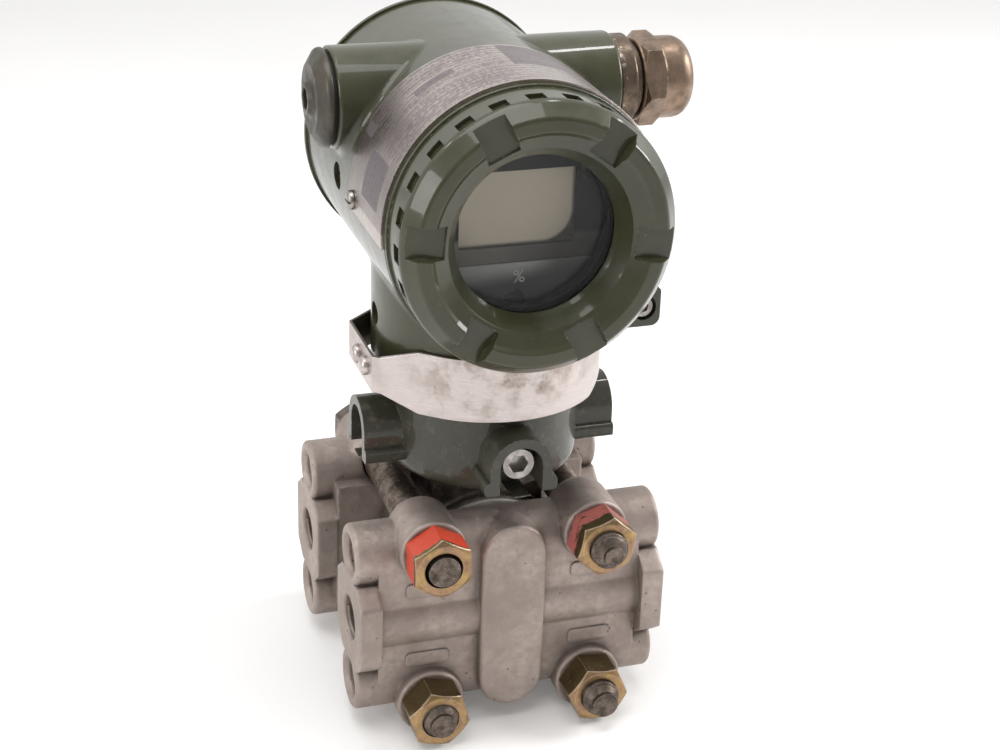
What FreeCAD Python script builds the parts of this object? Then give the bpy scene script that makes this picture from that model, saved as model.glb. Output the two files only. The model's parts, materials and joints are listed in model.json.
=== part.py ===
import FreeCAD, Part
import math
import os
from FreeCAD import Vector

# Differential pressure transmitter, in millimetres.
# X runs from the plugged conduit entry to the cable gland, Y from the window to the
# terminal cover, Z up. The origin is on the resting plane, in the middle of the capsule.

# ---- flange pair ----
flangeSpacing = 54.0            # between the centre planes of the two process flanges
flangeLength = 92.0
flangeInnerY = 13.4             # inner face, measured from the middle of the capsule
webFrontY = 36.0                # face of the web between ridges and port tube
tappedSpacing = 41.3            # between the tapped holes of one end face
tappedRadius = 5.55
tappedDepth = 14.0
tappedMouth = 6.8
ridgeRadius = 9.3
ridgeRound = 1.3
portTubeRadius = 10.9
portRadius = 6.6
portDepth = 15.0
portMouth = 7.1
passageRadius = 3.0
feedRadius = 2.2
feedX = 11.0
chamberRadius = 19.0
chamberDepth = 2.4
padLength = 6.4                 # end pad round each port, along X
padHalfDepth = 14.0
padHalfHeight = 9.5
padShoulder = 4.6
padCorner = 1.6
oblongWidth = 19.3
oblongHeight = 60.0
oblongY = 39.5
oblongRound = 0.9
castPlateLength = 13.0
castPlateHeight = 4.4
castPlateProud = 0.45
castPlateX = 25.0
castPlateZ = 11.5

# ---- flange bolting ----
boltSpacingX = 48.8
boltSpacingZ = 50.0
boltRadius = 5.5
boltClearance = 0.5
upperBossRadius = 9.7
upperBossRearY = 19.5
upperBossRearRound = 4.5
lowerBossRadius = 10.0
lowerBossLand = 6.5
lowerBossNeck = 9.2
bossFaceY = 39.5
bossRound = 0.8
nutWidth = 16.2
nutHeight = 10.0
nutRunningGap = 0.05
headHeight = 7.0
boltChamfer = 1.8
boltPointLength = 1.6           # plain point in front of the chamfer
boltStandOut = {(-1, 1): 1.0, (1, 1): 5.4, (-1, -1): 3.2, (1, -1): 5.4}
boltPointRadius = {(-1, 1): 4.6, (1, 1): 2.9, (-1, -1): 3.7, (1, -1): 3.9}
nutTurn = {(-1, 1): 2.0, (1, 1): -12.0, (-1, -1): 17.0, (1, -1): 24.0}
headTurn = 30.0

# ---- capsule ----
capsuleRadius = 28.0
capsuleStemInset = 1.0          # stem between the flanges, off their inner faces
capsuleStemWidth = 34.0
capsuleNeckRadius = 22.7
capsuleNeckStart = 35.8         # above the port axis
capsuleNeckLip = 4.0            # above its seal
capsuleNeckBore = 12.0
capsuleNeckDepth = 14.0
diaphragmRadius = 17.0
diaphragmThick = 0.3
gasketInner = 22.0
gasketOuter = 25.5
gasketThick = 1.6
neckSealRadius = 0.9
neckSealDepth = 0.75            # middle of the seal inside the capsule's neck
neckSealRise = 4.0              # above the neck screws
neckSealFloor = 0.95            # groove floor inside the middle of the seal
headerRadius = 9.0
headerHeight = 7.0
headerPins = 6
headerPinRadius = 0.5
headerPinLength = 5.0

# ---- amplifier housing ----
housingRadius = 39.0
housingFrontY = -37.0
housingRearY = 52.0
partitionY = -2.0
partitionThick = 4.0
housingWall = 6.0               # round the two compartments
threadWall = 4.8                # round the cover threads
threadLength = 11.0
landWall = 3.3                  # round the cover seals
ringLandLength = 3.6
neckY = -4.0
upperNeckRadius = 32.8
lowerNeckRadius = 28.0
neckStepRise = 16.0             # above the neck screws
neckBottom = 37.2               # above the port axis
neckBottomRound = 5.0
neckStepRound = 2.5
neckFillet = 5.0                # between neck and drum
skirtHeadroom = 2.0             # over the capsule's neck
skirtClearance = 0.3
wireBore = 9.0
recessRadius = 3.4              # plain recess on the side of the neck
recessDepth = 3.0
recessRise = 12.7               # above the middle of the tag band

# ---- shrouds round the neck screws ----
shroudHeight = 50.0             # of the neck screws above the port axis
shroudReach = 38.0
shroudOuter = 9.1
shroudInner = 6.3
shroudLeg = 7.7
shroudFoot = 1.7
shroudFootHeight = 4.2
neckScrewRadius = 3.0
neckScrewHead = 4.6
neckScrewHeadHeight = 6.0
neckScrewSeat = 29.0
neckScrewTip = 17.0
neckScrewSocket = 5.0
spotRadius = 5.8

# ---- conduit entries ----
conduitY = 15.3
conduitTop = 2.4                # below the top of the drum
conduitRadius = 14.4
conduitProud = 2.4              # past the sides of the drum
conduitBore = 10.4
conduitThread = 12.0
conduitRound = 1.0
conduitFillet = 2.5             # between conduit hubs and drum

plugWasherThick = 1.0
plugWasherRadius = 12.4
plugRadius = 14.0
plugThick = 4.2
plugHubRadius = 5.2
plugHubLength = 1.3
plugSocket = 6.0
plugSocketDepth = 5.0
plugThreadRadius = 10.1
plugThreadLength = 9.0

glandCollarRadius = 13.4
glandCollarLength = 5.2
glandNeckRadius = 10.8
glandNeckLength = 2.2
glandThreadRadius = 9.0
glandThreadLength = 8.5
glandBore = 6.6
glandHexWidth = 24.0
glandHexLength = 7.4
glandHexTurn = 10.0
glandNutRadius = 12.0
glandNutLength = 16.6
glandNutRound = 5.0
glandNutWall = 2.7
glandFit = 0.3
cableRadius = 4.5
glandSealOuter = 8.4
glandSealLength = 3.0
glandWasherThick = 1.2

# ---- covers ----
coverFlangeInset = 0.1
coverFlangeThick = 1.6
coverSideInset = 0.8
coverDepth = 17.0
coverShoulder = 3.8
coverStepInset = 7.4
coverDishWidth = 3.3            # from the window to the dish
windowBorder = 16.0             # from the side of the cover to the window
windowDepth = 8.6               # window edge behind the front face
coverStepDepth = 1.0
coverDishDepth = 3.2
coverEdgeRound = 3.2
glassLap = 3.8                  # of the glass behind the window's edge
glassThick = 6.0
glassGap = 0.3
retainerLap = 0.4
retainerFit = 0.8
retainerThick = 3.0
coverCupWall = 4.4
spigotClearance = 0.4
spigotLength = 10.0
oRingRadius = 0.95
oRingInset = 1.2                # middle of the seal inside its land
oRingOffset = 1.8
oRingGrooveDepth = 0.5
oRingGrooveLength = 2.4
gripCount = 6
gripTurn = -5.0
gripWidth = 9.2
gripDepth = 3.4
gripInset = 1.0                 # start of the grips outside the dish
fluteCount = 24
fluteWidth = 4.9
fluteDepth = 1.3
fluteStart = 7.0
fluteLength = 4.6
rearFlangeProud = 0.8
rearDepth = 9.0
rearShoulder = 7.2
rearSideDepth = 4.0             # side of the rear cover, before its chamfer
rearFluteStart = 1.8
rearFluteLength = 3.0
rearDishRadius = 22.0
rearDishDepth = 1.6
rearWall = 3.0

# ---- cover locks ----
lockReach = 6.607               # of the lock screws past the drum
lockAngle = 37.875              # below the level line
lugSide = 5.0
lugFoot = 5.6
lugRoot = 11.0                  # how far the lug's root lies inside the drum
lugCorner = 2.6
lugLength = 13.0
lugSetback = 0.6
lockBoltRadius = 2.0
lockHeadRadius = 2.9
lockHeadHeight = 3.0
lockSocket = 3.0
lockCounterbore = 3.7
lockCounterDepth = 3.6
lockBoltLength = 10.0
lockFit = 0.1

# ---- zero adjustment ----
zeroY = 14.4
zeroDrop = 0.6
zeroRecess = 4.0
zeroRecessDepth = 2.6
zeroShank = 2.5
zeroHead = 3.5
zeroHeadHeight = 1.4
zeroSlot = 0.9
zeroFit = 0.06

# ---- nameplate ----
plateThick = 0.6
plateStart = -6.0
plateEnd = 186.0
plateFrontGap = 0.7
plateRearGap = 0.3              # in front of the conduit hubs' fillets
plateGap = 0.02
plateScrewY = -6.0
plateScrewAngle = 1.0           # past the level line, on both sides
plateScrewHead = 2.8
plateScrewDome = 1.7
plateScrewShank = 1.5
plateScrewDepth = 3.0

# ---- tag band ----
tagThick = 0.8
tagFit = 0.5                    # between band and neck
tagDrumGap = 0.3                # below the drum
tagArc = 40.0
tagSideReach = 2.9
tagSideRearY = 8.5
tagBackArc = 35.0
tagTall = 18.6
tagStrap = 10.8
tagRise = 6.3                   # above the step of the neck
tagFlareLeft = (26.0, 35.0)     # where the band narrows to its strap, on each side
tagFlareRight = (24.5, 32.0)
rivetYs = (-11.0, -2.5)
rivetRadius = 2.8
rivetDome = 2.0
rivetShank = 1.3

# ---- display and boards ----
displayInset = 4.4
displayFrontY = -29.0
displayThick = 8.0
lcdInset = 12.1                 # side of the panel inside the display's edge
lcdHeight = 21.4
lcdRise = 2.2
lcdThick = 2.0
lcdSink = 0.6
stripDrop = 13.2
stripProud = 0.6
boardThick = 1.6
displayBoardInset = 1.6
amplifierBoardY = -14.0
amplifierBoardInset = 5.0
pillarInset = 4.6               # inside the display's edge
pillarRadius = 2.5
pillarScrewRadius = 1.5
pillarScrewHead = 2.6
pillarScrewHeadHeight = 1.8
chipSizes = ((14.0, 14.0, -6.0, -4.0), (10.0, 6.0, 10.0, 6.0), (8.0, 8.0, -9.0, 12.0))
chipHeight = 2.2

# ---- terminals ----
blockWidth = 46.0
blockHeight = 18.0
blockDepth = 12.0
blockDrop = 8.0
terminalCount = 4
terminalPitch = 11.0
terminalScrewHead = 3.4
terminalScrewShank = 1.75
terminalScrewLength = 7.0
terminalWell = 4.2
terminalWellDepth = 4.0
slotWidth = 0.9
slotDepth = 1.0
groundX = 0.0
groundDrop = 25.0
groundBoss = 4.5
groundBossLength = 6.0

portZ = boltSpacingZ / 2 + lowerBossRadius
portY = flangeSpacing / 2
boltX = boltSpacingX / 2
boltZ = boltSpacingZ / 2
boltHole = boltRadius + boltClearance
neckSealHeight = shroudHeight + neckSealRise
neckSealMajor = capsuleNeckRadius - neckSealDepth
neckSealGroove = neckSealMajor - neckSealFloor
capsuleNeckTop = neckSealHeight + capsuleNeckLip
capsuleNeckFloor = capsuleNeckTop - capsuleNeckDepth
skirtTop = capsuleNeckTop + skirtHeadroom
shroudBottom = shroudHeight - shroudLeg
neckStep = shroudHeight + neckStepRise
tagMiddle = neckStep + tagRise
tagRadius = upperNeckRadius + tagFit
tagSideX = tagRadius + tagSideReach
recessHeight = tagMiddle + recessRise
housingZ = portZ + tagMiddle + tagTall / 2 + tagDrumGap + housingRadius
compartmentRadius = housingRadius - housingWall
threadRadius = housingRadius - threadWall
ringLandRadius = housingRadius - landWall
conduitHalf = housingRadius + conduitProud
conduitZ = housingZ + housingRadius - conduitRadius - conduitTop
coverFlangeRadius = housingRadius - coverFlangeInset
coverSideRadius = housingRadius - coverSideInset
coverFaceRadius = coverSideRadius - coverShoulder
coverStepRadius = coverSideRadius - coverStepInset
rearFlangeRadius = housingRadius + rearFlangeProud
rearFaceRadius = coverSideRadius - rearShoulder
windowRadius = coverSideRadius - windowBorder
coverDishRadius = windowRadius + coverDishWidth
gripInner = coverDishRadius + gripInset
glassRadius = windowRadius + glassLap
spigotRadius = threadRadius - spigotClearance
oRingGroove = spigotRadius - oRingGrooveDepth
oRingMajor = ringLandRadius - oRingInset
coverCupRadius = spigotRadius - coverCupWall
retainerInner = windowRadius + retainerLap
retainerOuter = coverCupRadius - retainerFit
lockX = (housingRadius + lockReach) * math.cos(math.radians(lockAngle))
lockDrop = (housingRadius + lockReach) * math.sin(math.radians(lockAngle))
lugOuterX = lockX + lugSide
lugDrop = lockDrop + lugFoot
plateFrontY = housingFrontY + plateFrontGap
plateRearY = conduitY - conduitRadius - conduitFillet - plateRearGap
displayRadius = compartmentRadius - displayInset
displayBoardRadius = displayRadius - displayBoardInset
amplifierBoardRadius = compartmentRadius - amplifierBoardInset
pillarCircle = displayRadius - pillarInset
lcdWidth = 2 * (displayRadius - lcdInset)
corners = ((-1, 1), (1, 1), (-1, -1), (1, -1))
directions = {"x": Vector(1, 0, 0), "y": Vector(0, 1, 0), "z": Vector(0, 0, 1)}


def cylinder(axis, radius, low, high, u, v):
    # u and v are the two other coordinates, in X, Y, Z order
    start = {"x": Vector(low, u, v), "y": Vector(u, low, v), "z": Vector(u, v, low)}[axis]
    return Part.makeCylinder(radius, high - low, start, directions[axis])


def cone(axis, lowRadius, highRadius, low, high, u, v):
    start = {"x": Vector(low, u, v), "y": Vector(u, low, v), "z": Vector(u, v, low)}[axis]
    return Part.makeCone(lowRadius, highRadius, high - low, start, directions[axis])


def block(xs, ys, zs):
    low = Vector(min(xs), min(ys), min(zs))
    return Part.makeBox(abs(xs[1] - xs[0]), abs(ys[1] - ys[0]), abs(zs[1] - zs[0]), low)


def fuse(shapes):
    first, *rest = shapes
    return first.multiFuse(rest)


def outline(points, place):
    # closed outline of straight sides; a third value on a point rounds that corner
    flat = [Vector(p[0], p[1], 0) for p in points]
    radii = [p[2] if len(p) > 2 else 0.0 for p in points]
    count = len(flat)
    stations = []
    for i, here in enumerate(flat):
        radius = radii[i]
        if radius == 0.0:
            stations.append((here, None, here))
            continue
        back = (flat[i - 1] - here).normalize()
        ahead = (flat[(i + 1) % count] - here).normalize()
        half = back.getAngle(ahead) / 2
        bisector = (back + ahead).normalize()
        reach = radius / math.tan(half)
        middle = here + bisector * (radius / math.sin(half) - radius)
        stations.append((here + back * reach, middle, here + ahead * reach))
    edges = []
    for i, (start, middle, end) in enumerate(stations):
        previous = stations[i - 1][2]
        if previous.distanceToPoint(start) > 1e-6:
            edges.append(Part.makeLine(place(previous), place(start)))
        if middle is not None:
            edges.append(Part.Arc(place(start), place(middle), place(end)).toShape())
    return Part.Face(Part.Wire(edges))


def turned(points, axis, a, b):
    # body of revolution; points are (radius, position along the axis)
    places = {
        "x": lambda p: Vector(p.y, a + p.x, b),
        "y": lambda p: Vector(a + p.x, p.y, b),
        "z": lambda p: Vector(a + p.x, b, p.y),
    }
    centre = {"x": Vector(0, a, b), "y": Vector(a, 0, b), "z": Vector(a, b, 0)}[axis]
    solid = outline(points, places[axis]).revolve(centre, directions[axis], 360)
    return solid if solid.Volume > 0 else solid.reversed()


def hexagon(axis, width, low, high, u, v, turn=0.0):
    radius = width / math.sqrt(3)
    angles = [math.radians(60 * k + turn) for k in range(6)]
    points = [(u + radius * math.cos(a), v + radius * math.sin(a)) for a in angles]
    places = {
        "x": lambda p: Vector(low, p.x, p.y),
        "y": lambda p: Vector(p.x, low, p.y),
        "z": lambda p: Vector(p.x, p.y, low),
    }
    return outline(points, places[axis]).extrude(directions[axis] * (high - low))


def about_housing(shape, angle):
    turnedShape = shape.copy()
    turnedShape.rotate(Vector(0, 0, housingZ), directions["y"], -angle)
    return turnedShape


def ring(axis, inner, outer, low, high, u, v):
    return cylinder(axis, outer, low, high, u, v).cut(cylinder(axis, inner, low, high, u, v))


# ---- capsule and flanges ----
def capsule_body():
    disc = cylinder("y", capsuleRadius, -flangeInnerY, flangeInnerY, 0, portZ)
    low = portZ + capsuleNeckStart
    half = flangeInnerY - capsuleStemInset
    stem = block((-capsuleStemWidth / 2, capsuleStemWidth / 2), (-half, half), (portZ, low))
    neck = turned([
        (0, low),
        (capsuleNeckRadius, low, 0.8),
        (capsuleNeckRadius, portZ + capsuleNeckTop, 1.0),
        (0, portZ + capsuleNeckTop),
    ], "z", 0, neckY)
    body = fuse([disc, stem, neck])
    well = cylinder("z", capsuleNeckBore, portZ + capsuleNeckFloor, portZ + capsuleNeckTop, 0, neckY)
    middle = portZ + neckSealHeight
    groove = ring("z", neckSealGroove, capsuleNeckRadius + 1, middle - neckSealRadius,
                  middle + neckSealRadius, 0, neckY)
    body = body.cut(well).cut(groove)
    for side in (-1, 1):
        seat = side * flangeInnerY
        inner = side * (flangeInnerY - diaphragmThick)
        body = body.cut(cylinder("y", diaphragmRadius, min(seat, inner), max(seat, inner), 0, portZ))
        screw = cylinder("y", neckScrewRadius + nutRunningGap, 0, lowerNeckRadius, 0,
                         portZ + shroudHeight)
        screw.translate(Vector(0, neckY if side > 0 else neckY - lowerNeckRadius, 0))
        keep = cylinder("z", neckScrewTip - 0.5, portZ, portZ + capsuleNeckTop, 0, neckY)
        body = body.cut(screw.cut(keep))
    return body


def isolating_diaphragms():
    discs = []
    for side in (-1, 1):
        faces = (side * flangeInnerY, side * (flangeInnerY - diaphragmThick))
        discs.append(cylinder("y", diaphragmRadius, min(faces), max(faces), 0, portZ))
    return Part.makeCompound(discs)


def process_gaskets():
    rings = []
    for side in (-1, 1):
        faces = (side * flangeInnerY, side * (flangeInnerY + gasketThick))
        rings.append(ring("y", gasketInner, gasketOuter, min(faces), max(faces), 0, portZ))
    return Part.makeCompound(rings)


def flange_ridge(z):
    half = flangeLength / 2
    return turned([
        (0, -half),
        (ridgeRadius, -half, ridgeRound),
        (ridgeRadius, half, ridgeRound),
        (0, half),
    ], "x", -portY, z)


def end_pad(side):
    shoulderDepth = padHalfDepth - 6.0
    top = padHalfHeight + padShoulder
    quarter = [(padHalfDepth, padHalfHeight, padCorner), (shoulderDepth, top)]
    points = quarter + [(-y, z, *r) for y, z, *r in reversed(quarter)]
    points += [(y, -z, *r) for y, z, *r in reversed(points)]
    inner = side * (flangeLength / 2 - padLength)
    face = outline(points, lambda p: Vector(inner, p.x - portY, p.y + portZ))
    return face.extrude(Vector(side * padLength, 0, 0))


def oblong_boss():
    half = oblongWidth / 2
    reach = oblongHeight / 2 - half
    edges = [
        Part.makeLine(Vector(half, -oblongY, -reach), Vector(half, -oblongY, reach)),
        Part.Arc(Vector(half, -oblongY, reach), Vector(0, -oblongY, reach + half),
                 Vector(-half, -oblongY, reach)).toShape(),
        Part.makeLine(Vector(-half, -oblongY, reach), Vector(-half, -oblongY, -reach)),
        Part.Arc(Vector(-half, -oblongY, -reach), Vector(0, -oblongY, -reach - half),
                 Vector(half, -oblongY, -reach)).toShape(),
    ]
    boss = Part.Face(Part.Wire(edges)).extrude(Vector(0, oblongY - portY, 0))
    rim = [e for e in boss.Edges if e.BoundBox.YMax < -oblongY + 0.01]
    boss = boss.makeFillet(oblongRound, rim)
    boss.translate(Vector(0, 0, portZ))
    return boss


def cast_plate(x, z):
    half = castPlateHeight / 2
    reach = castPlateLength / 2
    face = outline([
        (x - reach, z - half, 1.4),
        (x + reach, z - half, 1.4),
        (x + reach, z + half, 1.4),
        (x - reach, z + half, 1.4),
    ], lambda p: Vector(p.x, -webFrontY, p.y))
    return face.extrude(Vector(0, -castPlateProud, 0))


def bolt_boss(x, sign):
    z = portZ + sign * boltZ
    if sign > 0:
        points = [
            (0, -upperBossRearY),
            (upperBossRadius, -upperBossRearY, upperBossRearRound),
            (upperBossRadius, -bossFaceY, bossRound),
            (0, -bossFaceY),
        ]
    else:
        land = -bossFaceY + lowerBossLand
        points = [
            (0, -flangeInnerY),
            (lowerBossNeck, -flangeInnerY),
            (lowerBossNeck, land),
            (lowerBossRadius, land, bossRound),
            (lowerBossRadius, -bossFaceY, bossRound),
            (0, -bossFaceY),
        ]
    return turned(points, "y", x, z)


def mouth_hole(radius, depth, mouth, y, z, side):
    face = side * flangeLength / 2
    floor = side * (flangeLength / 2 - depth)
    hole = cylinder("x", radius, min(face, floor), max(face, floor), y, z)
    flare = mouth - radius
    inner = side * (flangeLength / 2 - flare)
    radii = (mouth, radius) if side < 0 else (radius, mouth)
    chamfer = cone("x", *radii, min(face, inner), max(face, inner), y, z)
    return hole.fuse(chamfer)


def flange_casting():
    half = flangeLength / 2
    web = block((padLength - half, half - padLength), (-webFrontY, -flangeInnerY),
                (portZ - tappedSpacing / 2, portZ + tappedSpacing / 2))
    pieces = [web, cylinder("x", portTubeRadius, -half + 0.5, half - 0.5, -portY, portZ)]
    pieces += [flange_ridge(portZ + side * tappedSpacing / 2) for side in (-1, 1)]
    pieces += [end_pad(side) for side in (-1, 1)]
    pieces.append(oblong_boss())
    pieces += [bolt_boss(side * boltX, sign) for side, sign in corners]
    pieces += [cast_plate(side * castPlateX, portZ + rise * castPlateZ)
               for side in (-1, 1) for rise in (-1, 1)]
    casting = fuse(pieces)
    for side, sign in corners:
        hole = cylinder("y", boltHole, -oblongY - 1, -flangeInnerY + 1, side * boltX,
                        portZ + sign * boltZ)
        tapped = mouth_hole(tappedRadius, tappedDepth, tappedMouth, -portY,
                            portZ + sign * tappedSpacing / 2, side)
        casting = casting.cut(hole).cut(tapped)
    for side in (-1, 1):
        casting = casting.cut(mouth_hole(portRadius, portDepth, portMouth, -portY, portZ, side))
        feed = cylinder("y", feedRadius, -portY, -flangeInnerY, side * feedX, portZ)
        casting = casting.cut(feed)
    casting = casting.cut(cylinder("x", passageRadius, -half + 1, half - 1, -portY, portZ))
    chamber = cylinder("y", chamberRadius, -flangeInnerY - chamberDepth, -flangeInnerY, 0, portZ)
    groove = ring("y", gasketInner - nutRunningGap, gasketOuter + nutRunningGap,
                  -flangeInnerY - gasketThick, -flangeInnerY, 0, portZ)
    return casting.cut(chamber).cut(groove)


def mirrored(shape):
    return shape.mirror(Vector(0, 0, 0), directions["y"])


def chamfered_hexagon(axis, width, low, high, u, v, turn, both):
    # a hexagon whose corners are cut back by a 30 degree cone at one face or both
    body = hexagon(axis, width, low, high, u, v, turn)
    corner = width / math.sqrt(3)
    flat = width / 2 * 0.93
    rise = (corner - flat) * math.tan(math.radians(30))
    points = [(0, low), (flat, low), (corner, low + rise), (corner, high), (0, high)]
    if both:
        points[3:] = [(corner, high - rise), (flat, high), (0, high)]
    return body.common(turned(points, axis, u, v))


def flange_nuts():
    nuts = []
    for side, sign in corners:
        x = side * boltX
        z = portZ + sign * boltZ
        face = -bossFaceY - nutHeight
        turn = nutTurn[(side, sign)] + headTurn
        nut = chamfered_hexagon("y", nutWidth, face, -bossFaceY, x, z, turn, False)
        bore = cylinder("y", boltRadius + nutRunningGap, face, -bossFaceY, x, z)
        nuts.append(nut.cut(bore))
    return Part.makeCompound(nuts)


def flange_bolts():
    bolts = []
    for side, sign in corners:
        x = side * boltX
        z = portZ + sign * boltZ
        tip = -bossFaceY - nutHeight - boltStandOut[(side, sign)]
        radius = boltPointRadius[(side, sign)]
        step = tip + min(boltPointLength, boltStandOut[(side, sign)] / 4)
        bolt = turned([
            (0, tip),
            (radius, tip, 0.3),
            (radius, step),
            (boltRadius, step + boltChamfer),
            (boltRadius, bossFaceY),
            (0, bossFaceY),
        ], "y", x, z)
        head = chamfered_hexagon("y", nutWidth, bossFaceY, bossFaceY + headHeight, x, z,
                                 headTurn, True)
        bolts.append(bolt.fuse(head))
    return Part.makeCompound(bolts)


# ---- amplifier housing ----
def neck_form():
    points = [
        (0, portZ + neckBottom),
        (lowerNeckRadius, portZ + neckBottom, neckBottomRound),
        (lowerNeckRadius, portZ + neckStep - neckStepRound, 1.0),
        (upperNeckRadius, portZ + neckStep + neckStepRound, 1.0),
        (upperNeckRadius, housingZ),
        (0, housingZ),
    ]
    return turned(points, "z", 0, neckY)


def shroud(angle):
    # inverted U that stands out of the neck round one screw place
    low = portZ + shroudBottom
    high = portZ + shroudHeight
    wall = shroudOuter
    foot = shroudOuter + shroudFoot
    start = neckY - shroudReach
    outer = [
        (-foot, low, 1.2),
        (foot, low, 1.2),
        (foot, low + shroudFootHeight, 1.2),
        (wall, low + shroudFootHeight),
        (wall, high),
        (-wall, high),
        (-wall, low + shroudFootHeight),
        (-foot, low + shroudFootHeight, 1.2),
    ]
    depth = shroudReach - lowerNeckRadius + 6.0
    body = outline(outer, lambda p: Vector(p.x, start, p.y)).extrude(Vector(0, depth, 0))
    body = body.fuse(cylinder("y", shroudOuter, start, start + depth, 0, high))
    hollow = cylinder("y", shroudInner, start, start + depth, 0, high)
    hollow = hollow.fuse(block((-shroudInner, shroudInner), (start, start + depth), (low - 1, high)))
    body = body.cut(hollow)
    core = cylinder("z", lowerNeckRadius - 2, portZ, housingZ, 0, neckY)
    body = body.cut(core)
    body.rotate(Vector(0, neckY, 0), directions["z"], angle)
    return body


def necked_drum():
    drum = cylinder("y", housingRadius, housingFrontY, housingRearY, 0, housingZ)
    body = drum.fuse(neck_form())
    seam = [e for e in body.Edges if e.BoundBox.ZLength > 5 and e.BoundBox.YLength > upperNeckRadius
            and e.BoundBox.XLength > upperNeckRadius and e.BoundBox.ZMax < housingZ + 1]
    return body.makeFillet(neckFillet, seam)


def hubbed_drum():
    hubs = turned([
        (0, -conduitHalf),
        (conduitRadius, -conduitHalf, conduitRound),
        (conduitRadius, conduitHalf, conduitRound),
        (0, conduitHalf),
    ], "x", conduitY, conduitZ)
    body = necked_drum().fuse(hubs)
    seams = [e for e in body.Edges if e.BoundBox.ZMin > conduitZ - conduitRadius - 0.5
             and e.BoundBox.ZMax < conduitZ + conduitRadius + 0.5
             and e.BoundBox.XLength > conduitRadius and e.BoundBox.XLength < 2 * conduitRadius]
    return body.makeFillet(conduitFillet, seams)


def housing_outside():
    pieces = [hubbed_drum()]
    pieces += [shroud(angle) for angle in (0, 90, 180, 270)]
    pieces += [lock_lug(front) for front in (True, False)]
    return fuse(pieces)


def lock_lug(front):
    face = housingFrontY + lugSetback if front else housingRearY - lugSetback
    reach = lugLength if front else -lugLength
    points = [
        (lockX - 2 * lugRoot, -lugDrop),
        (lugOuterX, -lugDrop, lugCorner),
        (lugOuterX, -lugDrop + 10.5, 1.6),
        (lockX - lugRoot, lugRoot * 2 - lockDrop),
    ]
    lug = outline(points, lambda p: Vector(p.x, face, p.y + housingZ))
    return lug.extrude(Vector(0, reach, 0))


def mouth(face, inward):
    # threaded bore of one compartment, with the seal's land at its mouth
    land = face + inward * ringLandLength
    thread = face + inward * threadLength
    return [
        cylinder("y", ringLandRadius, min(face, land), max(face, land), 0, housingZ),
        cylinder("y", threadRadius, min(face, thread), max(face, thread), 0, housingZ),
    ]


def screw_passage(angle):
    hole = cylinder("y", neckScrewRadius + skirtClearance, neckY - shroudReach, neckY - neckScrewTip,
                    0, portZ + shroudHeight)
    spot = cylinder("y", spotRadius, neckY - shroudReach, neckY - neckScrewSeat, 0,
                    portZ + shroudHeight)
    passage = hole.fuse(spot)
    passage.rotate(Vector(0, neckY, 0), directions["z"], angle)
    return passage


def screw_seat(angle):
    # flat round the screw, a little proud of the neck
    seat = cylinder("y", spotRadius, neckY - neckScrewSeat, neckY - lowerNeckRadius + 3, 0,
                    portZ + shroudHeight)
    seat.rotate(Vector(0, neckY, 0), directions["z"], angle)
    return seat


def housing_body():
    body = fuse([housing_outside()] + [screw_seat(angle) for angle in (0, 180)])
    inside = [
        cylinder("y", compartmentRadius, housingFrontY, partitionY, 0, housingZ),
        cylinder("y", compartmentRadius, partitionY + partitionThick, housingRearY, 0, housingZ),
    ]
    inside += mouth(housingFrontY, 1) + mouth(housingRearY, -1)
    inside.append(cylinder("x", conduitBore, -conduitHalf, conduitHalf, conduitY, conduitZ))
    for side in (-1, 1):
        face = side * conduitHalf
        inner = side * (conduitHalf - 1.2)
        radii = (conduitBore + 1.2, conduitBore) if side < 0 else (conduitBore, conduitBore + 1.2)
        inside.append(cone("x", *radii, min(face, inner), max(face, inner), conduitY, conduitZ))
    skirt = capsuleNeckRadius + skirtClearance
    inside.append(cylinder("z", skirt, portZ, portZ + skirtTop, 0, neckY))
    inside.append(cylinder("z", wireBore, portZ + skirtTop - 1, housingZ - compartmentRadius + 6,
                           0, neckY - 6))
    inside += [screw_passage(angle) for angle in (0, 180)]
    for front in (True, False):
        face = housingFrontY + lugSetback if front else housingRearY - lugSetback
        inward = 1 if front else -1
        deep = face + inward * lockCounterDepth
        end = face + inward * lockBoltLength
        inside.append(cylinder("y", lockCounterbore, min(face, deep), max(face, deep), lockX,
                               housingZ - lockDrop))
        inside.append(cylinder("y", lockBoltRadius + lockFit, min(face, end), max(face, end), lockX,
                               housingZ - lockDrop))
    zeroZ = housingZ - zeroDrop
    inside.append(cylinder("x", zeroRecess, -housingRadius - 1, -housingRadius + zeroRecessDepth,
                           zeroY, zeroZ))
    inside.append(cylinder("x", zeroShank + zeroFit, -housingRadius, -compartmentRadius + 2,
                           zeroY, zeroZ))
    inside.append(cylinder("x", recessRadius, -upperNeckRadius - 1, -upperNeckRadius + recessDepth,
                           neckY, portZ + recessHeight))
    for angle in (180 + plateScrewAngle, -plateScrewAngle):
        hole = cylinder("x", plateScrewShank + nutRunningGap, housingRadius - plateScrewDepth,
                        housingRadius + 1, plateScrewY, housingZ)
        inside.append(about_housing(hole, angle))
    for x, z in pillar_places():
        inside.append(cylinder("y", pillarScrewRadius, partitionY, partitionY + 2.5, x, z))
    for part in inside:
        body = body.cut(part)
    ground = ring("y", terminalScrewShank + nutRunningGap, groundBoss, partitionY + partitionThick,
                  partitionY + partitionThick + groundBossLength, groundX, housingZ - groundDrop)
    return body.fuse(ground).removeSplitter()


def neck_seal():
    return Part.makeTorus(neckSealMajor, neckSealRadius - nutRunningGap,
                          Vector(0, neckY, portZ + neckSealHeight))


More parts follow.
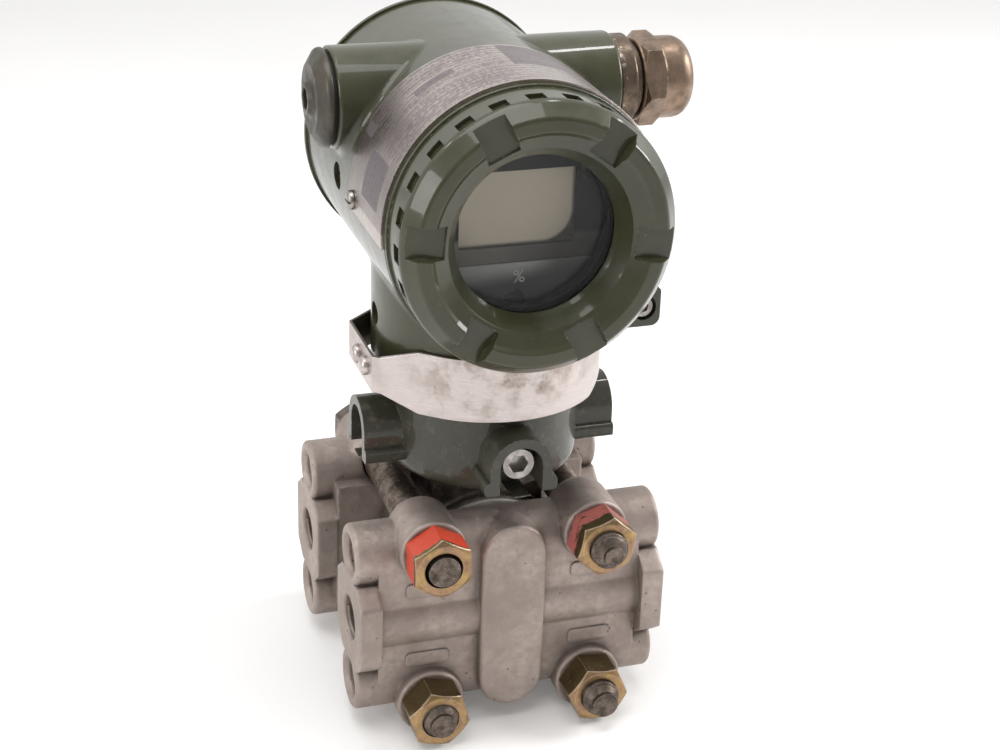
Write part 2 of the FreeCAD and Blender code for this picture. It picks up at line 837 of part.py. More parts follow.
def neck_screws():
    screws = []
    for angle in (0, 180):
        seat = neckY - neckScrewSeat
        head = cylinder("y", neckScrewHead, seat - neckScrewHeadHeight, seat, 0, portZ + shroudHeight)
        shank = cylinder("y", neckScrewRadius, seat, neckY - neckScrewTip, 0, portZ + shroudHeight)
        socket = hexagon("y", neckScrewSocket, seat - neckScrewHeadHeight,
                         seat - neckScrewHeadHeight / 2, 0, portZ + shroudHeight)
        screw = head.fuse(shank).cut(socket)
        screw.rotate(Vector(0, neckY, 0), directions["z"], angle)
        screws.append(screw)
    return Part.makeCompound(screws)


def header_connector():
    floor = portZ + capsuleNeckFloor
    body = cylinder("z", headerRadius, floor, floor + headerHeight, 0, neckY)
    pins = []
    for k in range(headerPins):
        angle = 2 * math.pi * k / headerPins
        x = headerRadius * 0.6 * math.cos(angle)
        y = neckY + headerRadius * 0.6 * math.sin(angle)
        pins.append(cylinder("z", headerPinRadius, floor + headerHeight - 1,
                             floor + headerHeight + headerPinLength, x, y))
    return fuse([body] + pins)


# ---- covers ----
def cover_teeth(face, outward, start, length):
    # pockets of the fluted rim, each open towards the face
    cuts = []
    low = face + outward * start
    high = low + outward * length
    for k in range(fluteCount):
        pocket = block((coverSideRadius - fluteDepth, coverSideRadius + 3), (low, high),
                       (housingZ - fluteWidth / 2, housingZ + fluteWidth / 2))
        cuts.append(about_housing(pocket, gripTurn + (k + 0.5) * 360 / fluteCount))
    return Part.makeCompound(cuts)


def cover_grips(faceY, outward, inner):
    # radial grip slots across the face
    cuts = []
    floor = faceY - outward * gripDepth
    for k in range(gripCount):
        slot = block((inner, housingRadius + 2), (floor, faceY + outward * 2),
                     (housingZ - gripWidth / 2, housingZ + gripWidth / 2))
        cuts.append(about_housing(slot, gripTurn + k * 360 / gripCount))
    return Part.makeCompound(cuts)


def front_cover():
    seat = housingFrontY
    face = seat - coverDepth
    window = face + windowDepth
    pocket = window + 0.6
    points = [
        (windowRadius, window),
        (windowRadius + 0.8, window - 1.2),
        (coverDishRadius, face + coverDishDepth),
        (coverStepRadius - 1.2, face + coverStepDepth),
        (coverStepRadius, face, 0.6),
        (coverFaceRadius, face, 1.5),
        (coverSideRadius, face + coverEdgeRound + 1.6, coverEdgeRound),
        (coverSideRadius, seat - coverFlangeThick),
        (coverFlangeRadius, seat - coverFlangeThick, 0.3),
        (coverFlangeRadius, seat, 0.3),
        (oRingGroove, seat),
        (oRingGroove, seat + oRingOffset - oRingGrooveLength / 2 + oRingGrooveLength),
        (spigotRadius, seat + oRingOffset - oRingGrooveLength / 2 + oRingGrooveLength),
        (spigotRadius, seat + spigotLength, 0.8),
        (coverCupRadius, seat + spigotLength, 0.5),
        (coverCupRadius, pocket + glassThick + 0.4),
        (glassRadius + glassGap, pocket + glassThick + 0.4),
        (glassRadius + glassGap, pocket),
        (windowRadius, pocket),
    ]
    cover = turned(points, "y", 0, housingZ)
    cover = cover.cut(cover_grips(face, -1, gripInner))
    return cover.cut(cover_teeth(seat, -1, fluteStart, fluteLength))


def glass_span():
    front = housingFrontY - coverDepth + windowDepth + 0.6
    return front, front + glassThick


def window_glass():
    front, back = glass_span()
    return turned([(0, front), (glassRadius, front, 0.5), (glassRadius, back, 0.5), (0, back)],
                  "y", 0, housingZ)


def window_retainer():
    back = glass_span()[1]
    body = ring("y", retainerInner, retainerOuter, back + 0.4, back + 0.4 + retainerThick, 0, housingZ)
    lip = ring("y", retainerInner, glassRadius - 0.5, back, back + 0.4, 0, housingZ)
    retainer = body.fuse(lip)
    for angle in (0, 180):
        notch = block((retainerInner - 1, retainerInner + 2.5),
                      (back + retainerThick - 0.8, back + retainerThick + 1),
                      (housingZ - 1.2, housingZ + 1.2))
        retainer = retainer.cut(about_housing(notch, angle))
    return retainer.removeSplitter()


def cover_o_ring(seat, inward):
    return Part.makeTorus(oRingMajor, oRingRadius, Vector(0, seat + inward * oRingOffset, housingZ),
                          directions["y"])


def rear_cover():
    seat = housingRearY
    face = seat + rearDepth
    groove = seat - oRingOffset - oRingGrooveLength / 2
    points = [
        (0, face - rearDishDepth),
        (rearDishRadius, face - rearDishDepth, 1.0),
        (rearDishRadius + 3.0, face, 1.0),
        (rearFaceRadius, face, 1.2),
        (coverSideRadius, seat + rearSideDepth, 1.0),
        (coverSideRadius, seat + coverFlangeThick),
        (rearFlangeRadius, seat + coverFlangeThick, 0.3),
        (rearFlangeRadius, seat, 0.3),
        (oRingGroove, seat),
        (oRingGroove, groove),
        (spigotRadius, groove),
        (spigotRadius, seat - spigotLength, 0.8),
        (coverCupRadius, seat - spigotLength, 0.5),
        (coverCupRadius, face - rearDishDepth - rearWall, 2.0),
        (0, face - rearDishDepth - rearWall),
    ]
    cover = turned(points, "y", 0, housingZ)
    cover = cover.cut(cover_grips(face, 1, rearDishRadius + 2))
    return cover.cut(cover_teeth(seat, 1, rearFluteStart, rearFluteLength))


# ---- display and boards ----
def pillar_places():
    angles = [math.radians(a) for a in (30, 150, 270)]
    return [(pillarCircle * math.cos(a), housingZ + pillarCircle * math.sin(a)) for a in angles]


def lcd_frame(grow):
    x = lcdWidth / 2 + grow
    low = housingZ + lcdRise - lcdHeight / 2 - grow
    high = housingZ + lcdRise + lcdHeight / 2 + grow
    return (-x, x), (low, high)


def display_bezel():
    back = displayFrontY + displayThick
    body = turned([
        (0, displayFrontY),
        (displayRadius, displayFrontY, 1.0),
        (displayRadius, back),
        (0, back),
    ], "y", 0, housingZ)
    xs, zs = lcd_frame(0.0)
    body = body.cut(block(xs, (displayFrontY, displayFrontY + lcdSink + lcdThick), zs))
    bevelX, bevelZ = lcd_frame(-1.5)
    body = body.cut(block(bevelX, (displayFrontY, back), bevelZ))
    strip = block((-displayRadius, displayRadius), (displayFrontY - stripProud, displayFrontY + 1),
                  (housingZ - displayRadius, housingZ - stripDrop))
    strip = strip.common(cylinder("y", displayRadius - 1.2, displayFrontY - stripProud, back, 0,
                                  housingZ))
    body = body.fuse(strip)
    for x, z in pillar_places():
        body = body.cut(cylinder("y", pillarScrewHead + 0.4, displayFrontY - 1, back, x, z))
    return body.removeSplitter()


def lcd_panel():
    xs, zs = lcd_frame(-0.1)
    return block(xs, (displayFrontY + lcdSink, displayFrontY + lcdSink + lcdThick), zs)


def display_board():
    front = displayFrontY + displayThick
    board = cylinder("y", displayBoardRadius, front, front + boardThick, 0, housingZ)
    for x, z in pillar_places():
        board = board.cut(cylinder("y", pillarScrewRadius + 0.1, front, front + boardThick, x, z))
    return board


def amplifier_board():
    back = amplifierBoardY + boardThick
    board = cylinder("y", amplifierBoardRadius, amplifierBoardY, back, 0, housingZ)
    for width, height, x, rise in chipSizes:
        chip = block((x - width / 2, x + width / 2), (amplifierBoardY - chipHeight, amplifierBoardY),
                     (housingZ + rise - height / 2, housingZ + rise + height / 2))
        board = board.fuse(chip)
    for x, z in pillar_places():
        board = board.cut(cylinder("y", pillarRadius + 0.1, amplifierBoardY - 1, back + 1, x, z))
    return board.removeSplitter()


def board_pillars():
    # stepped pillars: a foot behind the amplifier board, then up to the display board
    pillars = []
    front = displayFrontY + displayThick + boardThick
    for x, z in pillar_places():
        shaft = cylinder("y", pillarRadius, front, partitionY, x, z)
        foot = cylinder("y", pillarRadius + 1.2, amplifierBoardY + boardThick, partitionY, x, z)
        stem = cylinder("y", pillarScrewRadius, partitionY, partitionY + 2.4, x, z)
        hole = cylinder("y", pillarScrewRadius, front, front + 5, x, z)
        pillars.append(fuse([shaft, foot, stem]).cut(hole))
    return Part.makeCompound(pillars)


def board_screws():
    screws = []
    seat = displayFrontY + displayThick
    for x, z in pillar_places():
        head = cylinder("y", pillarScrewHead, seat - pillarScrewHeadHeight, seat, x, z)
        shank = cylinder("y", pillarScrewRadius - 0.05, seat, seat + boardThick + 4, x, z)
        slot = block((x - pillarScrewHead, x + pillarScrewHead),
                     (seat - pillarScrewHeadHeight, seat - pillarScrewHeadHeight + 0.8),
                     (z - 0.35, z + 0.35))
        screws.append(head.fuse(shank).cut(slot))
    return Part.makeCompound(screws)


# ---- terminals ----
def terminal_places():
    first = -terminalPitch * (terminalCount - 1) / 2
    return [(first + k * terminalPitch, housingZ - blockDrop) for k in range(terminalCount)]


def terminal_block():
    foot = partitionY + partitionThick
    top = foot + blockDepth
    z = housingZ - blockDrop
    body = block((-blockWidth / 2, blockWidth / 2), (foot, top), (z - blockHeight / 2,
                                                                  z + blockHeight / 2))
    body = body.makeChamfer(1.0, [e for e in body.Edges if e.BoundBox.YMin > top - 0.01])
    for x, tz in terminal_places():
        body = body.cut(cylinder("y", terminalWell, top - terminalWellDepth, top, x, tz))
        body = body.cut(cylinder("y", terminalScrewShank + nutRunningGap, top - terminalScrewLength
                                 - terminalWellDepth, top, x, tz))
        wire = block((x - terminalWell, x + terminalWell), (top - terminalWellDepth, top),
                     (tz, z + blockHeight / 2))
        body = body.cut(wire)
    return body


def slotted_screw(x, z, seat, outward, headRadius, shankRadius, length):
    head = cylinder("y", headRadius, min(seat, seat + outward * 2), max(seat, seat + outward * 2), x, z)
    end = seat - outward * length
    shank = cylinder("y", shankRadius, min(seat, end), max(seat, end), x, z)
    top = seat + outward * 2
    floor = top - outward * slotDepth
    slot = block((x - headRadius, x + headRadius), (floor, top), (z - slotWidth / 2, z + slotWidth / 2))
    return head.fuse(shank).cut(slot)


def terminal_screws():
    seat = partitionY + partitionThick + blockDepth - terminalWellDepth
    return Part.makeCompound([
        slotted_screw(x, z, seat, 1, terminalScrewHead, terminalScrewShank, terminalScrewLength - 0.5)
        for x, z in terminal_places()
    ])


def ground_screw():
    seat = partitionY + partitionThick + groundBossLength
    return slotted_screw(groundX, housingZ - groundDrop, seat, 1, terminalScrewHead,
                         terminalScrewShank, groundBossLength - 0.5)


# ---- conduit plug and gland ----
def plug_washer():
    return ring("x", conduitBore + 0.3, plugWasherRadius, -conduitHalf - plugWasherThick, -conduitHalf,
                conduitY, conduitZ)


def conduit_plug():
    seat = -conduitHalf - plugWasherThick
    points = [
        (0, seat - plugThick - plugHubLength),
        (plugHubRadius - 1.0, seat - plugThick - plugHubLength),
        (plugHubRadius, seat - plugThick, 1.0),
        (plugRadius - 4.0, seat - plugThick),
        (plugRadius, seat - plugThick + 2.6, 1.6),
        (plugRadius, seat, 0.4),
        (plugThreadRadius, seat),
        (plugThreadRadius, seat + plugWasherThick + plugThreadLength, 1.0),
        (0, seat + plugWasherThick + plugThreadLength),
    ]
    plug = turned(points, "x", conduitY, conduitZ)
    tip = seat - plugThick - plugHubLength
    return plug.cut(hexagon("x", plugSocket, tip, tip + plugSocketDepth, conduitY, conduitZ))


def gland_body():
    collarEnd = conduitHalf + glandCollarLength
    neckEnd = collarEnd + glandNeckLength
    points = [
        (glandBore, conduitHalf - conduitThread),
        (plugThreadRadius, conduitHalf - conduitThread, 0.8),
        (plugThreadRadius, conduitHalf),
        (glandCollarRadius, conduitHalf, 0.8),
        (glandCollarRadius, collarEnd, 0.6),
        (glandNeckRadius, collarEnd),
        (glandNeckRadius, neckEnd),
        (glandThreadRadius, neckEnd),
        (glandThreadRadius, neckEnd + glandThreadLength),
        (glandBore, neckEnd + glandThreadLength),
    ]
    return turned(points, "x", conduitY, conduitZ)


def gland_thread_end():
    return conduitHalf + glandCollarLength + glandNeckLength + glandThreadLength


def gland_seal():
    start = gland_thread_end()
    return ring("x", cableRadius, glandSealOuter, start, start + glandSealLength, conduitY, conduitZ)


def gland_washer():
    start = gland_thread_end() + glandSealLength
    return ring("x", cableRadius + 0.2, glandSealOuter, start, start + glandWasherThick, conduitY,
                conduitZ)


def gland_nut():
    start = conduitHalf + glandCollarLength + glandNeckLength + glandFit
    end = start + glandNutLength
    inner = glandNutRadius - glandNutWall
    shoulder = gland_thread_end() + glandSealLength + glandWasherThick
    dome = turned([
        (0, start),
        (glandNutRadius, start, 0.5),
        (glandNutRadius, end, glandNutRound),
        (0, end),
    ], "x", conduitY, conduitZ)
    grip = chamfered_hexagon("x", glandHexWidth, start, start + glandHexLength, conduitY, conduitZ,
                             glandHexTurn, True)
    bore = turned([
        (0, start),
        (inner, start),
        (inner, shoulder),
        (cableRadius + 0.6, shoulder),
        (cableRadius + 0.6, end - 0.6),
        (cableRadius + 1.2, end),
        (0, end),
    ], "x", conduitY, conduitZ)
    return dome.fuse(grip).cut(bore)


# ---- small outside pieces ----
def cover_lock_bolts():
    bolts = []
    for front in (True, False):
        inward = 1 if front else -1
        face = housingFrontY + lugSetback if front else housingRearY - lugSetback
        seat = face + inward * lockCounterDepth
        top = seat - inward * lockHeadHeight
        end = face + inward * (lockBoltLength - 0.5)
        z = housingZ - lockDrop
        head = cylinder("y", lockHeadRadius, min(seat, top), max(seat, top), lockX, z)
        shank = cylinder("y", lockBoltRadius, min(seat, end), max(seat, end), lockX, z)
        deep = top + inward * lockHeadHeight * 0.6
        socket = hexagon("y", lockSocket, min(top, deep), max(top, deep), lockX, z, 15)
        bolts.append(head.fuse(shank).cut(socket))
    return Part.makeCompound(bolts)


def zero_adjust_screw():
    seat = -housingRadius + zeroRecessDepth
    z = housingZ - zeroDrop
    head = cylinder("x", zeroHead, seat - zeroHeadHeight, seat, zeroY, z)
    shank = cylinder("x", zeroShank, seat, -compartmentRadius + 1, zeroY, z)
    slot = block((seat - zeroHeadHeight, seat - zeroHeadHeight / 2), (zeroY - zeroHead,
                 zeroY + zeroHead), (z - zeroSlot / 2, z + zeroSlot / 2))
    return head.fuse(shank).cut(slot)


def nameplate():
    inner = housingRadius + plateGap
    shell = ring("y", inner, inner + plateThick, plateFrontY, plateRearY, 0, housingZ)
    reach = housingRadius * 3
    sweep = 360 - (plateEnd - plateStart)
    steps = [plateEnd + sweep * k / 4 for k in range(5)]
    points = [(0, 0)] + [(reach * math.cos(math.radians(a)), reach * math.sin(math.radians(a)))
                         for a in steps]
    wedge = outline(points, lambda p: Vector(p.x, plateFrontY - 1, p.y + housingZ))
    wedge = wedge.extrude(Vector(0, plateRearY - plateFrontY + 2, 0))
    plate = shell.cut(wedge)
    for angle in (180 + plateScrewAngle, -plateScrewAngle):
        hole = cylinder("x", plateScrewShank + nutRunningGap, housingRadius - 1, housingRadius + 3,
                        plateScrewY, housingZ)
        plate = plate.cut(about_housing(hole, angle))
    return plate


def nameplate_screws():
    screws = []
    top = housingRadius + plateGap + plateThick + 0.05
    for angle in (180 + plateScrewAngle, -plateScrewAngle):
        dome = turned([
            (0, top),
            (plateScrewHead, top),
            (plateScrewHead, top + plateScrewDome, 1.3),
            (0, top + plateScrewDome),
        ], "x", plateScrewY, housingZ)
        shank = cylinder("x", plateScrewShank, housingRadius - plateScrewDepth + 0.2, top,
                         plateScrewY, housingZ)
        slot = block((top + plateScrewDome - 0.7, top + plateScrewDome + 1),
                     (plateScrewY - 3, plateScrewY + 3), (housingZ - 0.35, housingZ + 0.35))
        screws.append(about_housing(dome.fuse(shank).cut(slot), angle))
    return Part.makeCompound(screws)


def tag_plan(offset):
    # the band seen from above, at one distance from the neck: a circle with a flat left side
    radius = tagRadius + offset
    side = -tagSideX - offset
    front = math.radians(tagArc)
    back = math.radians(tagBackArc)
    leave = Vector(-radius * math.sin(front), neckY - radius * math.cos(front), 0)
    run = (leave.x - side) / math.cos(front)
    fold = Vector(side, leave.y + run * math.sin(front), 0)
    rear = Vector(side, tagSideRearY + offset / 2, 0)
    meet = Vector(-radius * math.sin(back), neckY + radius * math.cos(back), 0)
    return Part.Face(Part.Wire([
        Part.Arc(meet, Vector(radius, neckY, 0), leave).toShape(),
        Part.makeLine(leave, fold),
        Part.makeLine(fold, rear),
        Part.makeLine(rear, meet),
    ]))


def tag_band():
    tall = tagTall / 2
    low = portZ + tagMiddle - tall
    band = tag_plan(tagThick).cut(tag_plan(0.0)).extrude(Vector(0, 0, tagTall))
    band.translate(Vector(0, 0, low))
    strap = tagStrap / 2
    middle = portZ + tagMiddle
    leftStart, leftEnd = tagFlareLeft
    rightStart, rightEnd = tagFlareRight
    reach = 2 * tagSideX
    lower = [(-reach, -strap), (-leftEnd, -strap, 2.0), (-leftStart, -tall, 2.0),
             (rightStart, -tall, 2.0), (rightEnd, -strap, 2.0), (reach, -strap)]
    upper = [(x, -z, *r) for x, z, *r in reversed(lower)]
    keep = outline(lower + upper, lambda p: Vector(p.x, neckY - reach, p.y + middle))
    keep = keep.extrude(Vector(0, reach, 0))
    rear = block((-reach, reach), (neckY - 0.01, neckY + reach), (middle - strap, middle + strap))
    band = band.common(keep.fuse(rear))
    for y in rivetYs:
        band = band.cut(cylinder("x", rivetShank + nutRunningGap, -tagSideX - 3, -tagSideX + 3, y,
                                 middle))
    return band.removeSplitter()


def tag_rivets():
    rivets = []
    outside = -tagSideX - tagThick
    for y in rivetYs:
        middle = portZ + tagMiddle
        head = turned([
            (0, outside - rivetDome),
            (rivetRadius, outside - rivetDome, 1.6),
            (rivetRadius, outside),
            (0, outside),
        ], "x", y, middle)
        shank = cylinder("x", rivetShank, outside, -tagSideX + 1.2, y, middle)
        tail = cylinder("x", rivetShank + 0.8, -tagSideX, -tagSideX + 1.2, y, middle)
        rivets.append(fuse([head, shank, tail]))
    return Part.makeCompound(rivets)


def nodes():
    front = flange_casting()
    return {
        "capsule_body": capsule_body(),
        "isolating_diaphragms": isolating_diaphragms(),
        "process_gaskets": process_gaskets(),
        "front_flange": front,
        "rear_flange": mirrored(front),
        "flange_nuts": flange_nuts(),
        "flange_bolts": flange_bolts(),
        "housing_body": housing_body(),
        "neck_screws": neck_screws(),
        "neck_seal": neck_seal(),
        "header_connector": header_connector(),
        "front_cover": front_cover(),
        "window_glass": window_glass(),
        "window_retainer": window_retainer(),
        "front_cover_seal": cover_o_ring(housingFrontY, 1),
        "rear_cover": rear_cover(),
        "rear_cover_seal": cover_o_ring(housingRearY, -1),
        "display_bezel": display_bezel(),
        "lcd_panel": lcd_panel(),
        "display_board": display_board(),
        "amplifier_board": amplifier_board(),
        "board_pillars": board_pillars(),
        "board_screws": board_screws(),
        "terminal_block": terminal_block(),
        "terminal_screws": terminal_screws(),
        "ground_screw": ground_screw(),
        "plug_washer": plug_washer(),
        "conduit_plug": conduit_plug(),
        "gland_body": gland_body(),
        "gland_seal": gland_seal(),
        "gland_washer": gland_washer(),
        "gland_nut": gland_nut(),
        "cover_lock_bolts": cover_lock_bolts(),
        "zero_adjust_screw": zero_adjust_screw(),
        "nameplate": nameplate(),
        "nameplate_screws": nameplate_screws(),
        "tag_band": tag_band(),
        "tag_rivets": tag_rivets(),
    }


os.makedirs("parts", exist_ok=True)
for name, shape in nodes().items():
    shape.exportStep(f"parts/{name}.step")
    print(name, len(shape.Solids), shape.isValid(), round(shape.Volume / 1000, 2), "cm3")
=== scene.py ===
import bmesh
import bpy
import json
import math
from mathutils import Matrix, Vector


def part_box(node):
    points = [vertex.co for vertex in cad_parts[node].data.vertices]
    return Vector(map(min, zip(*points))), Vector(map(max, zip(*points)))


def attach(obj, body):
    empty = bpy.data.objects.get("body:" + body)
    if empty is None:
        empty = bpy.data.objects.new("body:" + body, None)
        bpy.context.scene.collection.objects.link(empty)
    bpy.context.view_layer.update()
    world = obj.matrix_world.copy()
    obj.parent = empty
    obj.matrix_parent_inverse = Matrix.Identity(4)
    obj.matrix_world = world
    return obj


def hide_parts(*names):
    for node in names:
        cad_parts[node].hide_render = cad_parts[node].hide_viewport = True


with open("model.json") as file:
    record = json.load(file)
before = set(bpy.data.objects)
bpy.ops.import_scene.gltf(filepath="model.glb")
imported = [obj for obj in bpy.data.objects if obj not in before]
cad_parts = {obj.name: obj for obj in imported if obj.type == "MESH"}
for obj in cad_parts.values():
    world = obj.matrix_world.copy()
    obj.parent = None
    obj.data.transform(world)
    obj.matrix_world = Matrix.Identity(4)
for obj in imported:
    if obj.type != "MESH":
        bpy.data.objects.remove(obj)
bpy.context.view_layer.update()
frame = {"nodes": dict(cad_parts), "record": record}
nodes = frame["nodes"]
print("frame loaded:", len(nodes), "nodes")

metre = 1000.0  # in millimetres, which the sizes of patterns are given in


def middle(node, axis):
    low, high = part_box(node)
    return (low[axis] + high[axis]) / 2


portZ = middle("isolating_diaphragms", 2)
housingZ = middle("front_cover", 2)

# short name: type of node, its settings, the sockets that values fill in order, the output used
kinds = {
    "place": ("ShaderNodeTexCoord", {}, (), "Object"),
    "normal": ("ShaderNodeNewGeometry", {}, (), "Normal"),
    "faceNormal": ("ShaderNodeNewGeometry", {}, (), "True Normal"),
    "split": ("ShaderNodeSeparateXYZ", {}, (0,), 0),
    "combine": ("ShaderNodeCombineXYZ", {}, (0, 1, 2), 0),
    "stretch": ("ShaderNodeMapping", {}, ("Vector", "Scale", "Rotation"), 0),
    "noise": ("ShaderNodeTexNoise", {}, ("Vector", "Scale", "Detail", "Roughness"), "Fac"),
    "cells": ("ShaderNodeTexVoronoi", {}, ("Vector", "Scale"), "Distance"),
    "range": ("ShaderNodeMapRange", {"interpolation_type": "SMOOTHSTEP"},
              ("Value", "From Min", "From Max", "To Min", "To Max"), 0),
    "mix": ("ShaderNodeMix", {"data_type": "RGBA"}, (0, 6, 7), 2),
    "dot": ("ShaderNodeVectorMath", {"operation": "DOT_PRODUCT"}, (0, 1), 1),
    "rounded": ("ShaderNodeBevel", {"samples": 4}, ("Radius",), 0),
    "crease": ("ShaderNodeAmbientOcclusion", {"samples": 6}, ("Distance",), "AO"),
    "bump": ("ShaderNodeBump", {}, ("Height", "Distance", "Normal"), 0),
}
for operation in ("ADD", "SUBTRACT", "MULTIPLY", "DIVIDE", "POWER", "SQRT", "ABSOLUTE", "MAXIMUM",
                  "MINIMUM", "FRACT", "PINGPONG", "ARCTAN2"):
    kinds[operation.lower()] = ("ShaderNodeMath", {"operation": operation}, (0, 1), 0)


def linear(hexColour):
    values = [int(hexColour[i:i + 2], 16) / 255 for i in (0, 2, 4)]
    return tuple(v / 12.92 if v <= 0.04045 else ((v + 0.055) / 1.055) ** 2.4 for v in values) + (1.0,)


def add(tree, kind, *values, **settings):
    # one node with its settings and what feeds its sockets, given back with the output it is used for;
    # a value is such a (node, output) pair, a plain value, a hex colour, or None to leave the socket
    nodeType, plain, sockets, output = kinds.get(kind, (kind, {}, (), 0))
    node = tree.nodes.new(nodeType)
    for name, value in {**plain, **settings}.items():
        setattr(node, name, value)
    fed = values[0] if values and isinstance(values[0], dict) else dict(zip(sockets, values))
    for socket, value in fed.items():
        if isinstance(value, tuple) and hasattr(value[0], "outputs"):
            tree.links.new(value[0].outputs[value[1]], node.inputs[socket])
        elif value is not None:
            isColour = isinstance(value, str) and node.inputs[socket].type == "RGBA"
            node.inputs[socket].default_value = linear(value) if isColour else value
    return node, output


def coordinate(tree, axis):
    # an object coordinate in millimetres, so that the places below are real ones
    split = add(tree, "split", add(tree, "place"))[0]
    return add(tree, "multiply", (split, axis), metre)


def pattern(tree, place, look):
    # noise of a size in mm, detail and roughness, stretched between two limits if the look has them,
    # and then brought to the two values that follow them
    size, detail, rough, *limits = look
    value = add(tree, "noise", place, metre / size, detail, rough)
    return add(tree, "range", value, *limits) if limits else value


def between(tree, value, low, high, soft):
    rise = add(tree, "range", value, low - soft, low + soft)
    fall = add(tree, "range", value, high - soft, high + soft, 1.0, 0.0)
    return add(tree, "multiply", rise, fall)


def edgeMask(tree, rounded, low=0.02, high=0.25):
    # 1 on edges, from how far the rounded normal leaves the plain one
    alike = add(tree, "dot", rounded, add(tree, "normal"))
    return add(tree, "range", add(tree, "subtract", 1.0, alike), low, high)


def startMaterial(name, **plain):
    # a Principled shader whose values that are the same all over stand on its own sockets
    material = bpy.data.materials.new(name)
    material.use_nodes = True
    shader = material.node_tree.nodes["Principled BSDF"]
    for socket, value in plain.items():
        shader.inputs[socket.replace("_", " ")].default_value = value
    return material, material.node_tree, shader


def join(tree, shader, colour=None, roughness=None, normal=None, metallic=None):
    for socket, source in (("Base Color", colour), ("Roughness", roughness), ("Normal", normal),
                           ("Metallic", metallic)):
        if source:
            tree.links.new(source[0].outputs[source[1]], shader.inputs[socket])


def dress(material, *names):
    for name in names:
        mesh = nodes[name].data
        mesh.materials.clear()
        mesh.materials.append(material)


# in the dictionaries below a look is a noise's size in mm, detail and roughness, then its limits;
# a tuple of other numbers is the limits of a range, then the values that they become
enamel = {
    "gloss": {"Specular_IOR_Level": 0.3, "Coat_Weight": 0.55, "Coat_Roughness": 0.05},
    "colour": "3c3c26", "second": "323320", "dusty": "4d4e39", "neck": "38362c",
    "primer": "a6a796", "grime": "6a5f54", "speck": "8f8c7c",
    "cloud": (26.0, 4.0, 0.6, 0.35, 0.65), "dust": (7.0, 5.0, 0.7),
    "upward": (0.35, 1.0), "dustAndLightOnTop": (0.3, 0.75, 0.2, 0.7), "roughByDust": (0.3, 0.8, 0.3, 0.46),
    "chips": (1.6, 4.0, 0.7, 0.52, 0.66), "chipShare": 0.75,
    "grimePatches": (4.0, 6.0, 0.75, 0.5, 0.72), "grimeShare": 0.5,
    "specks": (0.9, 2.0, 0.5, 0.72, 0.76), "speckShare": 0.35,
    "neckLowMm": 64, "neckTopMm": 78, "neckShare": 0.8, "neckDuller": 0.16,
    "edgeMm": 0.5, "peel": (0.55, 2.0, 0.5), "peelMm": 0.012, "wave": (9.0, 2.0, 0.5), "waveMm": 0.12,
}


def mossEnamel(name, withNeck):
    # sprayed enamel over cast aluminium: glossy, slight orange peel, rubbed pale on its edges
    e = enamel
    material, tree, shader = startMaterial(name, **e["gloss"])
    place = add(tree, "place")
    colour = add(tree, "mix", pattern(tree, place, e["cloud"]), e["colour"], e["second"])
    dust = pattern(tree, place, e["dust"])
    facing = add(tree, "split", add(tree, "normal"))[0]
    # upward faces take a lighter colour, partly dust and partly painted top light
    upward = add(tree, "range", (facing, 2), *e["upward"])
    dusty = add(tree, "multiply", upward, add(tree, "range", dust, *e["dustAndLightOnTop"]))
    colour = add(tree, "mix", dusty, colour, e["dusty"])
    rounded = add(tree, "rounded", e["edgeMm"] / metre)
    chips = add(tree, "multiply", pattern(tree, place, e["chips"]), e["chipShare"])
    worn = add(tree, "multiply", edgeMask(tree, rounded), chips)
    rough = add(tree, "range", dust, *e["roughByDust"])
    if withNeck:
        # the neck and its shrouds are duller than the drum
        start, end = (portZ * metre + e[key] for key in ("neckLowMm", "neckTopMm"))
        low = add(tree, "range", coordinate(tree, 2), start, end, 1.0, 0.0)
        colour = add(tree, "mix", add(tree, "multiply", low, e["neckShare"]), colour, e["neck"])
        rough = add(tree, "add", rough, add(tree, "multiply", low, e["neckDuller"]))
        grime = add(tree, "multiply", low, pattern(tree, place, e["grimePatches"]))
        colour = add(tree, "mix", add(tree, "multiply", grime, e["grimeShare"]), colour, e["grime"])
    colour = add(tree, "mix", worn, colour, e["primer"])
    specks = add(tree, "multiply", pattern(tree, place, e["specks"]), e["speckShare"])
    colour = add(tree, "mix", specks, colour, e["speck"])
    surface = add(tree, "bump", pattern(tree, place, e["peel"]), e["peelMm"] / metre, rounded)
    surface = add(tree, "bump", pattern(tree, place, e["wave"]), e["waveMm"] / metre, surface)
    join(tree, shader, colour, rough, surface)
    return material


castSteel = {
    "metallic": 0.75, "colour": "a4978f", "light": "b8aba3", "dark": "8a7c75", "edge": "c9beb7",
    "pit": "57493f", "grime": "4b403a",
    "cloud": (17.0, 5.0, 0.62, 0.3, 0.7), "fine": (2.2, 4.0, 0.65),
    "fineTone": (0.3, 0.7, 0.25, 0.75), "fineRub": (0.35, 0.6, 0.1, 0.6), "rough": (0.3, 0.7, 0.46, 0.66),
    "edgeMm": 1.3, "edgeLimits": (0.01, 0.2),
    "pitMm": 2.6, "pitLimits": (0.08, 0.16, 1.0, 0.0), "pitPatches": (5.0, 2.0, 0.5, 0.52, 0.62),
    "pitShare": 0.75, "pitDepth": 1.2, "creaseMm": 4.0, "creaseLimits": (0.35, 0.9, 0.7, 0.0),
    "uneven": (4.5, 3.0, 0.5), "unevenMm": 0.3, "grain": (0.55, 4.0, 0.7), "grainMm": 0.06,
}


